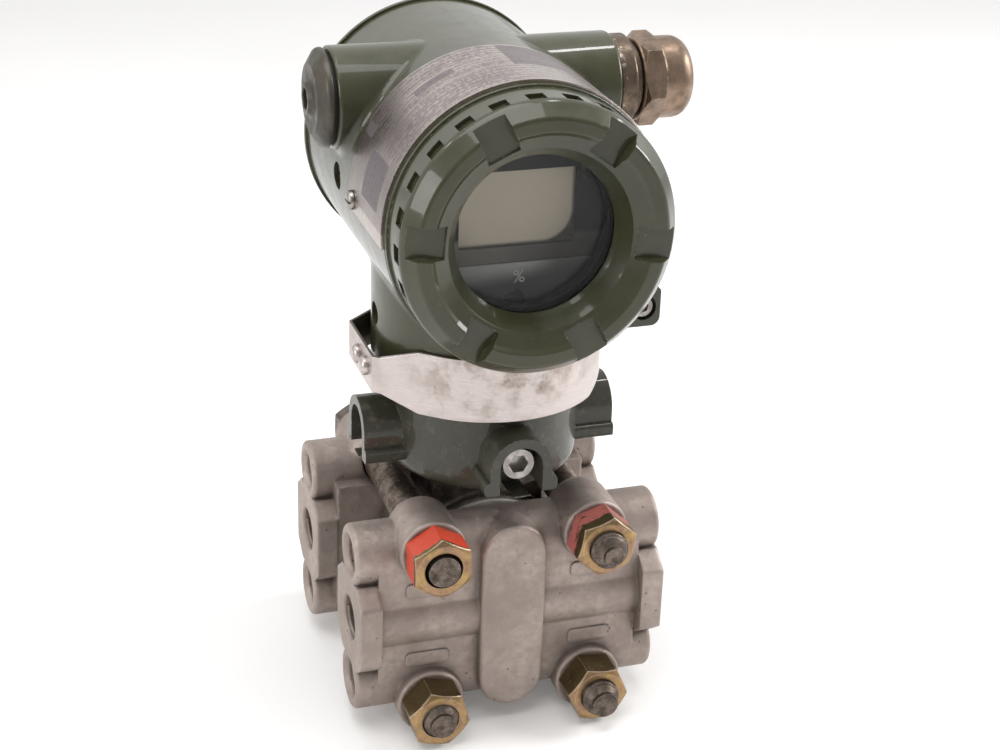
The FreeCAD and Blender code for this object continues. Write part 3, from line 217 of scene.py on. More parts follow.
def pickledCasting():
    # shot-blasted and pickled cast stainless: warm grey, grainy, with small pits and stains
    c = castSteel
    material, tree, shader = startMaterial("cast stainless, pickled", Metallic=c["metallic"])
    place = add(tree, "place")
    colour = add(tree, "mix", pattern(tree, place, c["cloud"]), c["dark"], c["light"])
    fine = pattern(tree, place, c["fine"])
    colour = add(tree, "mix", add(tree, "range", fine, *c["fineTone"]), colour, c["colour"])
    rounded = add(tree, "rounded", c["edgeMm"] / metre)
    edges = edgeMask(tree, rounded, *c["edgeLimits"])
    rubbed = add(tree, "multiply", edges, add(tree, "range", fine, *c["fineRub"]))
    colour = add(tree, "mix", rubbed, colour, c["edge"])
    pits = add(tree, "range", add(tree, "cells", place, metre / c["pitMm"]), *c["pitLimits"])
    pitted = add(tree, "multiply", pits, pattern(tree, place, c["pitPatches"]))
    colour = add(tree, "mix", add(tree, "multiply", pitted, c["pitShare"]), colour, c["pit"])
    # the colour named grime darkens the creases by occlusion: painted shade
    grime = add(tree, "range", add(tree, "crease", c["creaseMm"] / metre), *c["creaseLimits"])
    colour = add(tree, "mix", grime, colour, c["grime"])
    rough = add(tree, "range", fine, *c["rough"])
    sunk = add(tree, "multiply", pitted, c["pitDepth"])
    height = add(tree, "subtract", pattern(tree, place, c["grain"]), sunk)
    surface = add(tree, "bump", pattern(tree, place, c["uneven"]), c["unevenMm"] / metre, rounded)
    surface = add(tree, "bump", height, c["grainMm"] / metre, surface)
    join(tree, shader, colour, rough, surface)
    return material


zincPlate = {
    "colour": "a98c5e", "olive": "6a5f40", "rose": "a08068", "worn": "d6c6ac", "grey": "a39c94",
    "brown": "6e5847", "streak": "5a4d2e", "redPaint": "d0432a", "fadedPaint": "b0605a",
    "cloud": (5.0, 5.0, 0.65), "cloudTone": (0.34, 0.66), "rough": (0.3, 0.7, 0.3, 0.48),
    "brownPatches": (3.2, 4.0, 0.7, 0.45, 0.7, 0.0, 0.55), "flankToneAndShade": (0.4, 0.9, 0.85, 0.0),
    "streaks": (1.3, 3.0, 0.6, 0.45, 0.75, 0.0, 0.3), "streakScale": (1.0, 0.25, 1.0),
    "edgeMm": 0.6, "edgeLimits": (0.01, 0.16), "edgeShare": 0.85,
    "scuffs": (2.6, 5.0, 0.7, 0.6, 0.66), "scuffShare": 0.55,
    "paintEnd": (-1.0, -0.4), "paintWobble": (0.2, 0.8, -1.3, 1.3), "leftFurther": 2.4,
    "leftLimits": (-3.0, 3.0, 1.0, 0.0), "upperMm": 4.0, "sideLimits": (0.5, 0.6, 1.0, 0.0),
    "thinPaint": (1.8, 4.0, 0.6, 0.34, 0.44), "paintShare": 0.95,
    "grain": (0.5, 3.0, 0.6), "grainMm": 0.02,
}


def sealingPaint(tree, place, cloud, facing):
    # red paint round the back of the two upper nuts, worn and faded on the right one;
    # gives back how far it covers and its colour
    p = zincPlate
    front = middle("flange_nuts", 1) * metre
    left = add(tree, "range", coordinate(tree, 0), *p["leftLimits"])
    wobbly = add(tree, "add", coordinate(tree, 1), add(tree, "range", cloud, *p["paintWobble"]))
    reach = add(tree, "add", wobbly, add(tree, "multiply", left, p["leftFurther"]))
    back = add(tree, "range", reach, front + p["paintEnd"][0], front + p["paintEnd"][1])
    upper = add(tree, "range", coordinate(tree, 2), portZ * metre, portZ * metre + p["upperMm"])
    side = add(tree, "range", facing, *p["sideLimits"])
    paint = add(tree, "multiply", add(tree, "multiply", back, upper), side)
    thin = pattern(tree, place, p["thinPaint"])
    cover = add(tree, "multiply", paint, add(tree, "maximum", thin, left))
    return cover, add(tree, "mix", left, p["fadedPaint"], p["redPaint"])


def yellowZinc():
    # yellow chromate on zinc: brassy faces, olive flanks darkened partly as painted shade, bare along its
    # edges
    p = zincPlate
    material, tree, shader = startMaterial("yellow chromate zinc")
    place = add(tree, "place")
    cloud = pattern(tree, place, p["cloud"])
    colour = add(tree, "mix", add(tree, "range", cloud, *p["cloudTone"]), p["colour"], p["rose"])
    split = add(tree, "split", add(tree, "faceNormal"))[0]
    facing = add(tree, "absolute", (split, 1))
    colour = add(tree, "mix", pattern(tree, place, p["brownPatches"]), colour, p["brown"])
    # faces turned away from the front take the olive colour: partly chromate tone, partly painted shade
    colour = add(tree, "mix", add(tree, "range", facing, *p["flankToneAndShade"]), colour, p["olive"])
    streaks = pattern(tree, add(tree, "stretch", place, p["streakScale"]), p["streaks"])
    colour = add(tree, "mix", streaks, colour, p["streak"])
    rounded = add(tree, "rounded", p["edgeMm"] / metre)
    edges = add(tree, "multiply", edgeMask(tree, rounded, *p["edgeLimits"]), p["edgeShare"])
    colour = add(tree, "mix", edges, colour, p["worn"])
    scuffs = add(tree, "multiply", pattern(tree, place, p["scuffs"]), p["scuffShare"])
    colour = add(tree, "mix", scuffs, colour, p["grey"])
    cover, red = sealingPaint(tree, place, cloud, facing)
    colour = add(tree, "mix", add(tree, "multiply", cover, p["paintShare"]), colour, red)
    surface = add(tree, "bump", pattern(tree, place, p["grain"]), p["grainMm"] / metre, rounded)
    join(tree, shader, colour, add(tree, "range", cloud, *p["rough"]), surface,
         add(tree, "subtract", 1.0, cover))
    return material


darkStud = {
    "colour": "766a62", "dark": "474039", "worn": "b9b0a8",
    "cloud": (3.5, 5.0, 0.7), "cloudTone": (0.35, 0.7), "rough": (0.3, 0.7, 0.36, 0.56),
    "scratches": (0.45, 2.0, 0.5, 0.66, 0.74, 0.0, 0.8),
    "scratchScale": (1.0, 0.2, 1.0), "scratchTurn": (0.4, 0.0, 0.3),
    "edgeMm": 0.25, "edgeShare": 0.7, "grain": (0.4, 3.0, 0.6), "grainMm": 0.03,
}


def studSteel():
    # oil-black alloy steel, scratched, its thread crests rubbed bright
    d = darkStud
    material, tree, shader = startMaterial("alloy steel, oil black", Metallic=1.0)
    place = add(tree, "place")
    cloud = pattern(tree, place, d["cloud"])
    colour = add(tree, "mix", add(tree, "range", cloud, *d["cloudTone"]), d["colour"], d["dark"])
    scratched = add(tree, "stretch", place, d["scratchScale"], d["scratchTurn"])
    colour = add(tree, "mix", pattern(tree, scratched, d["scratches"]), colour, d["worn"])
    rounded = add(tree, "rounded", d["edgeMm"] / metre)
    crests = add(tree, "multiply", edgeMask(tree, rounded), d["edgeShare"])
    colour = add(tree, "mix", crests, colour, d["worn"])
    surface = add(tree, "bump", pattern(tree, place, d["grain"]), d["grainMm"] / metre, rounded)
    join(tree, shader, colour, add(tree, "range", cloud, *d["rough"]), surface)
    return material


# the tool rings are drawn coarser than real ones, so that they show
turnedSteel = {
    "colour": "a8a39e", "ring": "8b8682", "tarnish": "7d6a5c",
    "rings": (0.28, 2.0, 0.5), "ringScale": (0.12, 1.0, 0.12), "ringTone": (0.35, 0.65), "ringMm": 0.01,
    "patches": (6.0, 4.0, 0.6), "patchTone": (0.55, 0.8, 0.0, 0.5), "rough": (0.3, 0.7, 0.24, 0.38),
    "edgeMm": 0.2,
}


def turnedStainless():
    # turned or drawn stainless: fine tool rings and a little tarnish
    t = turnedSteel
    material, tree, shader = startMaterial("turned stainless steel", Metallic=1.0)
    place = add(tree, "place")
    rings = pattern(tree, add(tree, "stretch", place, t["ringScale"]), t["rings"])
    colour = add(tree, "mix", add(tree, "range", rings, *t["ringTone"]), t["colour"], t["ring"])
    patches = pattern(tree, place, t["patches"])
    colour = add(tree, "mix", add(tree, "range", patches, *t["patchTone"]), colour, t["tarnish"])
    surface = add(tree, "bump", rings, t["ringMm"] / metre, add(tree, "rounded", t["edgeMm"] / metre))
    join(tree, shader, colour, add(tree, "range", patches, *t["rough"]), surface)
    return material


# the rolling lines are drawn coarser than real ones, so that they show
tagSheet = {
    "colour": "c6bcb9", "line": "a69f9a", "stain": "8a7c70", "brown": "685747",
    "lines": (0.16, 2.0, 0.5), "lineScale": (0.03, 0.03, 1.0), "lineTone": (0.3, 0.7, 0.0, 0.25),
    "rough": (0.3, 0.7, 0.26, 0.36), "stainRough": 0.2,
    "clouds": (13.0, 6.0, 0.68, 0.44, 0.62), "stainShare": 0.7,
    "drops": (3.0, 3.0, 0.6, 0.58, 0.66, 0.0, 0.5),
    # the stain is strongest near the upper edge and in front
    "aboveMm": 70, "upper": (-6.0, 6.0, 0.45, 1.0), "front": (-22.0, 16.0, 9.0), "aside": 0.35,
    "edgeMm": 0.3, "wave": (9.0, 2.0, 0.5), "waveMm": 0.12, "lineMm": 0.004,
}


def stainedSheet():
    # bright rolled stainless strip with brown-grey clouds of dried liquid
    t = tagSheet
    material, tree, shader = startMaterial("rolled stainless strip, stained", Metallic=1.0)
    place = add(tree, "place")
    lines = pattern(tree, add(tree, "stretch", place, t["lineScale"]), t["lines"])
    colour = add(tree, "mix", add(tree, "range", lines, *t["lineTone"]), t["colour"], t["line"])
    rise = add(tree, "subtract", coordinate(tree, 2), portZ * metre + t["aboveMm"])
    upper = add(tree, "range", rise, *t["upper"])
    front = add(tree, "multiply", between(tree, coordinate(tree, 0), *t["front"]), 1 - t["aside"])
    upper = add(tree, "multiply", upper, add(tree, "add", t["aside"], front))
    stain = add(tree, "multiply", pattern(tree, place, t["clouds"]), upper)
    colour = add(tree, "mix", add(tree, "multiply", stain, t["stainShare"]), colour, t["stain"])
    drops = add(tree, "multiply", pattern(tree, place, t["drops"]), stain)
    colour = add(tree, "mix", drops, colour, t["brown"])
    rough = add(tree, "add", add(tree, "range", lines, *t["rough"]),
                add(tree, "multiply", stain, t["stainRough"]))
    rounded = add(tree, "rounded", t["edgeMm"] / metre)
    surface = add(tree, "bump", pattern(tree, place, t["wave"]), t["waveMm"] / metre, rounded)
    join(tree, shader, colour, rough, add(tree, "bump", lines, t["lineMm"] / metre, surface))
    return material


# the brushed lines are drawn coarser than real ones, so that they show
plate = {
    "colour": "bfb5af", "rose": "8f807d", "tarnish": "8c8078", "shade": "5f5454", "ink": "443a44",
    "brushed": (0.3, 3.0, 0.6), "brushScale": (0.05, 1.0, 1.0), "brushTone": (0.3, 0.7, 0.0, 0.55),
    "patches": (11.0, 5.0, 0.65, 0.45, 0.75, 0.0, 0.5), "shadeLimits": (115.0, 165.0, 0.0, 0.55),
    # print: places along the drum in mm, round it in degrees from its right side
    "metresPerDegree": 0.00068, "field": (22, 152, 0.4), "textField": (92, 150, 0.4),
    "linesMm": (-34.0, -31.9, -29.8, -27.6, -25.5, -23.4, -19.2, -10.4, -8.3, -6.2, -4.0),
    "lineMm": 0.45, "lineSoft": 0.07, "blocks": (
        (60, 89, -22, -3), (155, 174, -31, -15), (148, 153, -10, -4),
        (111, 129, -17.2, -13.4), (137, 140, -29, -26.6)),
    "blockSoft": (0.25, 0.1), "blockInk": (0.1, 0.6, 0.95, 0.7),
    "broken": (0.9, 2.0, 0.5), "brokenScale": (1.0, 0.4, 1.0), "dashes": (0.44, 0.52),
    "lineInk": 0.6, "rowsPerMm": 0.47, "rowPart": (0.42, 0.78, 0.06), "textInk": 0.7,
    "inkShare": 0.92, "metallic": 0.9, "inkMetallic": 0.8, "rough": (0.3, 0.7, 0.22, 0.34), "inkRough": 0.2,
    "edgeMm": 0.25, "wave": (8.0, 2.0, 0.5), "waveMm": 0.05, "brushMm": 0.004,
}


def plateInk(tree, angle, along, unrolled):
    # the print, kept as bare rules, broken rows and blocks without any words
    p = plate
    broken = pattern(tree, add(tree, "stretch", unrolled, p["brokenScale"]), p["broken"])
    dashes = add(tree, "range", broken, *p["dashes"])
    rules = None
    for start in p["linesMm"]:
        line = between(tree, along, start, start + p["lineMm"], p["lineSoft"])
        rules = line if rules is None else add(tree, "maximum", rules, line)
    strength = add(tree, "add", p["lineInk"], add(tree, "multiply", dashes, 1 - p["lineInk"]))
    ink = add(tree, "multiply", rules, between(tree, angle, *p["field"]))
    ink = add(tree, "multiply", ink, strength)
    rows = add(tree, "fract", add(tree, "multiply", along, p["rowsPerMm"]))
    text = add(tree, "multiply", between(tree, rows, *p["rowPart"]), dashes)
    text = add(tree, "multiply", text, between(tree, angle, *p["textField"]))
    ink = add(tree, "maximum", ink, add(tree, "multiply", text, p["textInk"]))
    roundSoft, alongSoft = p["blockSoft"]
    for low, high, start, end in p["blocks"]:
        block = add(tree, "multiply", between(tree, angle, low, high, roundSoft),
                    between(tree, along, start, end, alongSoft))
        block = add(tree, "multiply", block, add(tree, "range", broken, *p["blockInk"]))
        ink = add(tree, "maximum", ink, block)
    return ink


def printedPlate():
    # thin brushed plate bent round the drum, tarnished, and darker on the left as painted shade
    p = plate
    material, tree, shader = startMaterial("rolled plate, ink printed")
    place = add(tree, "place")
    along = coordinate(tree, 1)
    up = add(tree, "subtract", coordinate(tree, 2), housingZ * metre)
    angle = add(tree, "multiply", add(tree, "arctan2", up, coordinate(tree, 0)), 180 / math.pi)
    unrolled = add(tree, "combine", add(tree, "multiply", angle, p["metresPerDegree"]),
                   add(tree, "multiply", along, 1 / metre))
    brushed = pattern(tree, add(tree, "stretch", unrolled, p["brushScale"]), p["brushed"])
    colour = add(tree, "mix", add(tree, "range", brushed, *p["brushTone"]), p["colour"], p["rose"])
    colour = add(tree, "mix", pattern(tree, place, p["patches"]), colour, p["tarnish"])
    colour = add(tree, "mix", add(tree, "range", angle, *p["shadeLimits"]), colour, p["shade"])
    ink = plateInk(tree, angle, along, unrolled)
    colour = add(tree, "mix", add(tree, "multiply", ink, p["inkShare"]), colour, p["ink"])
    metal = add(tree, "subtract", p["metallic"], add(tree, "multiply", ink, p["inkMetallic"]))
    rough = add(tree, "add", add(tree, "range", brushed, *p["rough"]),
                add(tree, "multiply", ink, p["inkRough"]))
    rounded = add(tree, "rounded", p["edgeMm"] / metre)
    surface = add(tree, "bump", pattern(tree, place, p["wave"]), p["waveMm"] / metre, rounded)
    surface = add(tree, "bump", brushed, p["brushMm"] / metre, surface)
    join(tree, shader, colour, rough, surface, metal)
    return material


gland = {
    "metallic": 0.9, "nut": ("988270", "6c5c4e"), "body": ("76675a", "50453b"), "worn": "c4b39c",
    "chip": "cfc8be", "cloud": (5.5, 5.0, 0.65), "cloudTone": (0.3, 0.7), "rough": (0.3, 0.7, 0.3, 0.48),
    "edgeMm": 0.45, "edgeLimits": (0.01, 0.2), "wear": (1.8, 4.0, 0.7, 0.38, 0.62), "wearShare": 0.85,
    # the body's collar, from its inner end, has lost some of its coat
    "collarFromMm": 8.5, "collarMm": 5.2, "collarSoft": 0.3,
    "chips": (2.2, 5.0, 0.75, 0.55, 0.6), "chipShare": 0.5,
    "grain": (1.1, 4.0, 0.65), "grainMm": 0.05,
    "lines": (0.35, 2.0, 0.5), "lineScale": (1.0, 0.1, 0.1), "lineMm": 0.01,
}


def bronzedBrass(name, tones, chipped):
    # bronzed brass fitting: brown, rubbed to bare metal on its edges
    g = gland
    material, tree, shader = startMaterial(name, Metallic=g["metallic"])
    place = add(tree, "place")
    cloud = pattern(tree, place, g["cloud"])
    colour = add(tree, "mix", add(tree, "range", cloud, *g["cloudTone"]), *tones)
    rounded = add(tree, "rounded", g["edgeMm"] / metre)
    wear = add(tree, "multiply", pattern(tree, place, g["wear"]), g["wearShare"])
    rubbed = add(tree, "multiply", edgeMask(tree, rounded, *g["edgeLimits"]), wear)
    colour = add(tree, "mix", rubbed, colour, g["worn"])
    if chipped:
        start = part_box("gland_body")[0][0] * metre + g["collarFromMm"]
        collar = between(tree, coordinate(tree, 0), start, start + g["collarMm"], g["collarSoft"])
        chips = add(tree, "multiply", pattern(tree, place, g["chips"]), collar)
        colour = add(tree, "mix", add(tree, "multiply", chips, g["chipShare"]), colour, g["chip"])
    surface = add(tree, "bump", pattern(tree, place, g["grain"]), g["grainMm"] / metre, rounded)
    lines = pattern(tree, add(tree, "stretch", place, g["lineScale"]), g["lines"])
    surface = add(tree, "bump", lines, g["lineMm"] / metre, surface)
    join(tree, shader, colour, add(tree, "range", cloud, *g["rough"]), surface)
    return material


plug = {
    "metallic": 0.35, "colour": "4e493f", "dark": "3a362f", "worn": "918b7e", "hollow": "1f1c18",
    "cloud": (6.0, 5.0, 0.6), "cloudTone": (0.3, 0.7), "rough": (0.3, 0.7, 0.32, 0.52),
    "edgeMm": 0.6, "edgeShare": 0.5, "creaseMm": 5.0, "creaseLimits": (0.2, 0.7, 0.85, 0.0),
    "grain": (0.8, 3.0, 0.6), "grainMm": 0.03,
}


def plugFinish():
    # grey-olive chromate on the blanking plug, with painted shade inside its hexagon
    p = plug
    material, tree, shader = startMaterial("olive chromate plug", Metallic=p["metallic"])
    place = add(tree, "place")
    cloud = pattern(tree, place, p["cloud"])
    colour = add(tree, "mix", add(tree, "range", cloud, *p["cloudTone"]), p["colour"], p["dark"])
    rounded = add(tree, "rounded", p["edgeMm"] / metre)
    edges = add(tree, "multiply", edgeMask(tree, rounded), p["edgeShare"])
    colour = add(tree, "mix", edges, colour, p["worn"])
    # the hexagon socket and other recesses are darkened by occlusion: painted shade
    hollow = add(tree, "range", add(tree, "crease", p["creaseMm"] / metre), *p["creaseLimits"])
    colour = add(tree, "mix", hollow, colour, p["hollow"])
    surface = add(tree, "bump", pattern(tree, place, p["grain"]), p["grainMm"] / metre, rounded)
    join(tree, shader, colour, add(tree, "range", cloud, *p["rough"]), surface)
    return material


# what the plain finishes share; their grain is as many times finer than their clouds
plainLook = {
    "cloud": (4.0, 0.6), "tone": (0.3, 0.7), "roughRise": 0.15, "grain": (3.0, 0.6), "grainsPerCloud": 12,
    "edgeMm": 0.3, "edgeShare": 0.25, "edge": "8c8c88",
}


def plainFinish(name, colour, second, sizeMm, roughness, depthMm, **own):
    # moulded plastic, rubber, board, gasket or ink: two tones, fine grain, slight changes of sheen
    p = plainLook
    material, tree, shader = startMaterial(name, **own)
    place = add(tree, "place")
    cloud = pattern(tree, place, (sizeMm, *p["cloud"]))
    tone = add(tree, "mix", add(tree, "range", cloud, *p["tone"]), colour, second)
    rounded = add(tree, "rounded", p["edgeMm"] / metre)
    edges = add(tree, "multiply", edgeMask(tree, rounded), p["edgeShare"])
    tone = add(tree, "mix", edges, tone, p["edge"])
    rough = add(tree, "range", cloud, *p["tone"], roughness, roughness + p["roughRise"])
    grain = pattern(tree, place, (sizeMm / p["grainsPerCloud"], *p["grain"]))
    join(tree, shader, tone, rough, add(tree, "bump", grain, depthMm / metre, rounded))
    return material


bezelLook = {
    "specular": 0.25, "colour": "2c292d", "dark": "222024", "edge": "121115",
    "band": "8a7f7b", "strip": "c6c3c1", "stripShade": "545256",
    "cloud": (9.0, 4.0, 0.6), "cloudTone": (0.3, 0.7), "rough": (0.3, 0.7, 0.5, 0.62),
    # places in mm from the middle of the drum: outwards, upwards and to the right
    "rimShadeFrom": (15.0, 23.0, 0.0, 0.85), "bandLimits": (-13.5, -6.0, 0.8),
    "bandShare": (-16.0, 18.0, 0.85, 0.2), "raisedMm": (0.1, 0.4), "slope": 0.12,
    "stripLimits": (-19.5, -13.0), "stripSide": (2.0, 14.0, 0.0, 0.8),
    "grain": (0.8, 2.0, 0.5), "grainMm": 0.002, "edgeMm": 0.3,
}


def bezelPlastic():
    # satin dark plastic, darker towards the window's rim as painted shade, with a grey printed field on its
    # raised strip that darkens downwards and to the right as painted shade
    b = bezelLook
    material, tree, shader = startMaterial("satin dark plastic", Specular_IOR_Level=b["specular"])
    place = add(tree, "place")
    x = coordinate(tree, 0)
    up = add(tree, "subtract", coordinate(tree, 2), housingZ * metre)
    cloud = pattern(tree, place, b["cloud"])
    colour = add(tree, "mix", add(tree, "range", cloud, *b["cloudTone"]), b["colour"], b["dark"])
    # darker towards the window's rim: painted shade
    squares = add(tree, "add", add(tree, "multiply", x, x), add(tree, "multiply", up, up))
    outward = add(tree, "range", add(tree, "sqrt", squares), *b["rimShadeFrom"])
    colour = add(tree, "mix", outward, colour, b["edge"])
    share = add(tree, "range", x, *b["bandShare"])
    band = add(tree, "multiply", between(tree, up, *b["bandLimits"]), share)
    colour = add(tree, "mix", band, colour, b["band"])
    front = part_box("display_bezel")[0][1] * metre
    start, end = (front + depth for depth in b["raisedMm"])
    raised = add(tree, "range", coordinate(tree, 1), start, end, 1.0, 0.0)
    # the strip darkens downwards and to the right: painted shade
    shade = add(tree, "subtract", up, add(tree, "multiply", x, b["slope"]))
    strip = add(tree, "mix", add(tree, "range", shade, *b["stripLimits"]), b["stripShade"], b["strip"])
    strip = add(tree, "mix", add(tree, "range", x, *b["stripSide"]), strip, b["stripShade"])
    colour = add(tree, "mix", raised, colour, strip)
    rounded = add(tree, "rounded", b["edgeMm"] / metre)
    surface = add(tree, "bump", pattern(tree, place, b["grain"]), b["grainMm"] / metre, rounded)
    join(tree, shader, colour, add(tree, "range", cloud, *b["rough"]), surface)
    return material


panelLook = {
    "metallic": 0.35, "colour": "cabbac", "dark": "b5a798", "corner": "2b2624", "thread": "d2c4b6",
    "halfMm": (19.0, 13.0), "darkening": (0.5, 1.5, 0.0, 0.6), "cornerRadiusMm": 9.0, "cornerSoftMm": 1.3,
    "weave": (0.6, 2.0, 0.5), "weaveTone": (0.3, 0.7, 0.0, 0.1), "rough": (0.3, 0.7, 0.45, 0.55),
    "weaveMm": 0.001,
}


def liquidPanel():
    # unpowered panel over its mirror layer: beige-grey, slightly darker towards its edges
    p = panelLook
    material, tree, shader = startMaterial("liquid crystal panel", Metallic=p["metallic"])
    place = add(tree, "place")
    x, z = coordinate(tree, 0), coordinate(tree, 2)
    up = add(tree, "subtract", z, middle("lcd_panel", 2) * metre)
    shares = [add(tree, "power", add(tree, "divide", value, half), 2.0)
              for value, half in zip((x, up), p["halfMm"])]
    reach = add(tree, "range", add(tree, "add", *shares), *p["darkening"])
    colour = add(tree, "mix", reach, p["colour"], p["dark"])
    # the frame's shade rounds off the lower right corner
    low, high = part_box("lcd_panel")
    radius = p["cornerRadiusMm"]
    across = add(tree, "maximum", add(tree, "subtract", x, high[0] * metre - radius), 0.0)
    below = add(tree, "maximum", add(tree, "subtract", low[2] * metre + radius, z), 0.0)
    squares = add(tree, "add", add(tree, "multiply", across, across), add(tree, "multiply", below, below))
    shade = add(tree, "range", add(tree, "sqrt", squares), radius - p["cornerSoftMm"], radius)
    colour = add(tree, "mix", shade, colour, p["corner"])
    weave = pattern(tree, place, p["weave"])
    colour = add(tree, "mix", add(tree, "range", weave, *p["weaveTone"]), colour, p["thread"])
    surface = add(tree, "bump", weave, p["weaveMm"] / metre)
    join(tree, shader, colour, add(tree, "range", weave, *p["rough"]), surface)
    return material


window = {
    "index": 1.25, "colour": "f3f6f3",
    "smears": (9.0, 4.0, 0.6, 0.55, 0.8, 0.0, 0.02), "smearScale": (1.0, 1.0, 0.4),
}


def clearGlass():
    # window with an anti-glare coat, hence the low index: clear to shadow, faintly smeared
    w = window
    material, tree, shader = startMaterial("coated window glass", Transmission_Weight=1.0, IOR=w["index"])
    shader.inputs["Base Color"].default_value = linear(w["colour"])
    smears = pattern(tree, add(tree, "stretch", add(tree, "place"), w["smearScale"]), w["smears"])
    join(tree, shader, roughness=smears)
    shadowRay = (add(tree, "ShaderNodeLightPath")[0], "Is Shadow Ray")
    clear = add(tree, "ShaderNodeBsdfTransparent")
    mix = add(tree, "ShaderNodeMixShader", {0: shadowRay, 1: (shader, 0), 2: clear})[0]
    tree.links.new(mix.outputs[0], tree.nodes["Material Output"].inputs["Surface"])
    return material


# name, colour, second colour, size of its clouds in mm, roughness, depth of its grain in mm,
# values of its own and the nodes that it dresses
plainFinishes = (
    ("black nitrile rubber", "1b1b1c", "262627", 4.0, 0.55, 0.03, {},
     ("neck_seal", "front_cover_seal", "rear_cover_seal", "gland_seal", "plug_washer")),
    ("filled white gasket", "cfcdc6", "b9b6ad", 5.0, 0.5, 0.03, {}, ("process_gaskets",)),
    ("moulded black plastic", "24262a", "2e3036", 7.0, 0.4, 0.02, {},
     ("header_connector", "terminal_block")),
    ("green solder resist", "1d4a2c", "245836", 3.0, 0.3, 0.03, {"Coat_Weight": 0.3},
     ("display_board", "amplifier_board")),
    ("turned brass", "b59a5b", "9c8348", 3.0, 0.25, 0.02, {"Metallic": 1.0},
     ("board_pillars", "terminal_screws", "ground_screw")),
    ("blackened stainless ring", "1b1a1c", "232124", 3.0, 0.45, 0.01, {}, ("window_retainer",)),
)
for name, *look, own, dressed in plainFinishes:
    dress(plainFinish(name, *look, **own), *dressed)

castings = pickledCasting()
studs = studSteel()
dress(mossEnamel("moss enamel on cast aluminium", True), "housing_body")
dress(mossEnamel("moss enamel on covers", False), "front_cover", "rear_cover")
dress(castings, "front_flange", "rear_flange")
dress(yellowZinc(), "flange_nuts")
dress(studs, "flange_bolts")
dress(turnedStainless(), "capsule_body", "isolating_diaphragms", "board_screws", "gland_washer",
      "zero_adjust_screw", "nameplate_screws", "neck_screws", "cover_lock_bolts")
dress(stainedSheet(), "tag_band", "tag_rivets")
dress(printedPlate(), "nameplate")
dress(bronzedBrass("bronzed brass nut", gland["nut"], False), "gland_nut")
dress(bronzedBrass("bronzed brass body", gland["body"], True), "gland_body")
dress(plugFinish(), "conduit_plug")
dress(liquidPanel(), "lcd_panel")
dress(bezelPlastic(), "display_bezel")
dress(clearGlass(), "window_glass")
print("finishes made:", len(bpy.data.materials))


def nodeTree(name, **inputs):
    # a Geometry Nodes tree with named inputs, and its input node
    tree = bpy.data.node_groups.new(name, "GeometryNodeTree")
    for label, kind in {"Geometry": "Geometry", **inputs}.items():
        tree.interface.new_socket(label, in_out="INPUT", socket_type="NodeSocket" + kind)
    tree.interface.new_socket("Geometry", in_out="OUTPUT", socket_type="NodeSocketGeometry")
    return tree, add(tree, "NodeGroupInput")[0]


def endTree(tree, geometry, material):
    # realized instances with a material, as the export needs them
    real = add(tree, "GeometryNodeRealizeInstances", {0: geometry})
    done = add(tree, "GeometryNodeSetMaterial", {"Geometry": real, "Material": material})
    add(tree, "NodeGroupOutput", {0: done})
    return tree


def toMesh(holder, name):
    # the plain mesh of an object with its modifiers or its text; the object goes
    depsgraph = bpy.context.evaluated_depsgraph_get()
    mesh = bpy.data.meshes.new_from_object(holder.evaluated_get(depsgraph), depsgraph=depsgraph)
    bpy.data.objects.remove(holder)
    mesh.name = name
    return mesh


def inScene(name, data):
    piece = bpy.data.objects.new(name, data)
    bpy.context.scene.collection.objects.link(piece)
    return piece


def grown(name, tree, base, **values):
    # the plain mesh that the tree makes on the base mesh with these inputs
    holder = inScene(name, base)
    modifier = holder.modifiers.new(tree.name, "NODES")
    modifier.node_group = tree
    sockets = {item.name: item.identifier for item in tree.interface.items_tree
               if item.in_out == "INPUT"}
    for label, value in values.items():
        modifier[sockets[label]] = value
    holder.update_tag()
    return toMesh(holder, name)


def facingFront(place):
    # turns what stands up along Z so that it points to the front, and moves it to its place
    return Matrix.Translation(place) @ Matrix.Rotation(math.pi / 2, 4, "X")


# in metres
stud = {
    "radius": 0.0055, "pitch": 0.00181, "depth": 0.00075, "chamfer": 0.0018, "pointLength": 0.0016,
    "sides": 56, "ringLength": 0.0002, "insideNut": 0.002, "waveLimits": (0.12, 0.9), "weld": 1e-6,
    # radius of the plain point of each stud, by side (-1 left) and level (-1 lower)
    "points": {(-1, 1): 0.0046, (1, 1): 0.0029, (-1, -1): 0.0037, (1, -1): 0.0039},
}


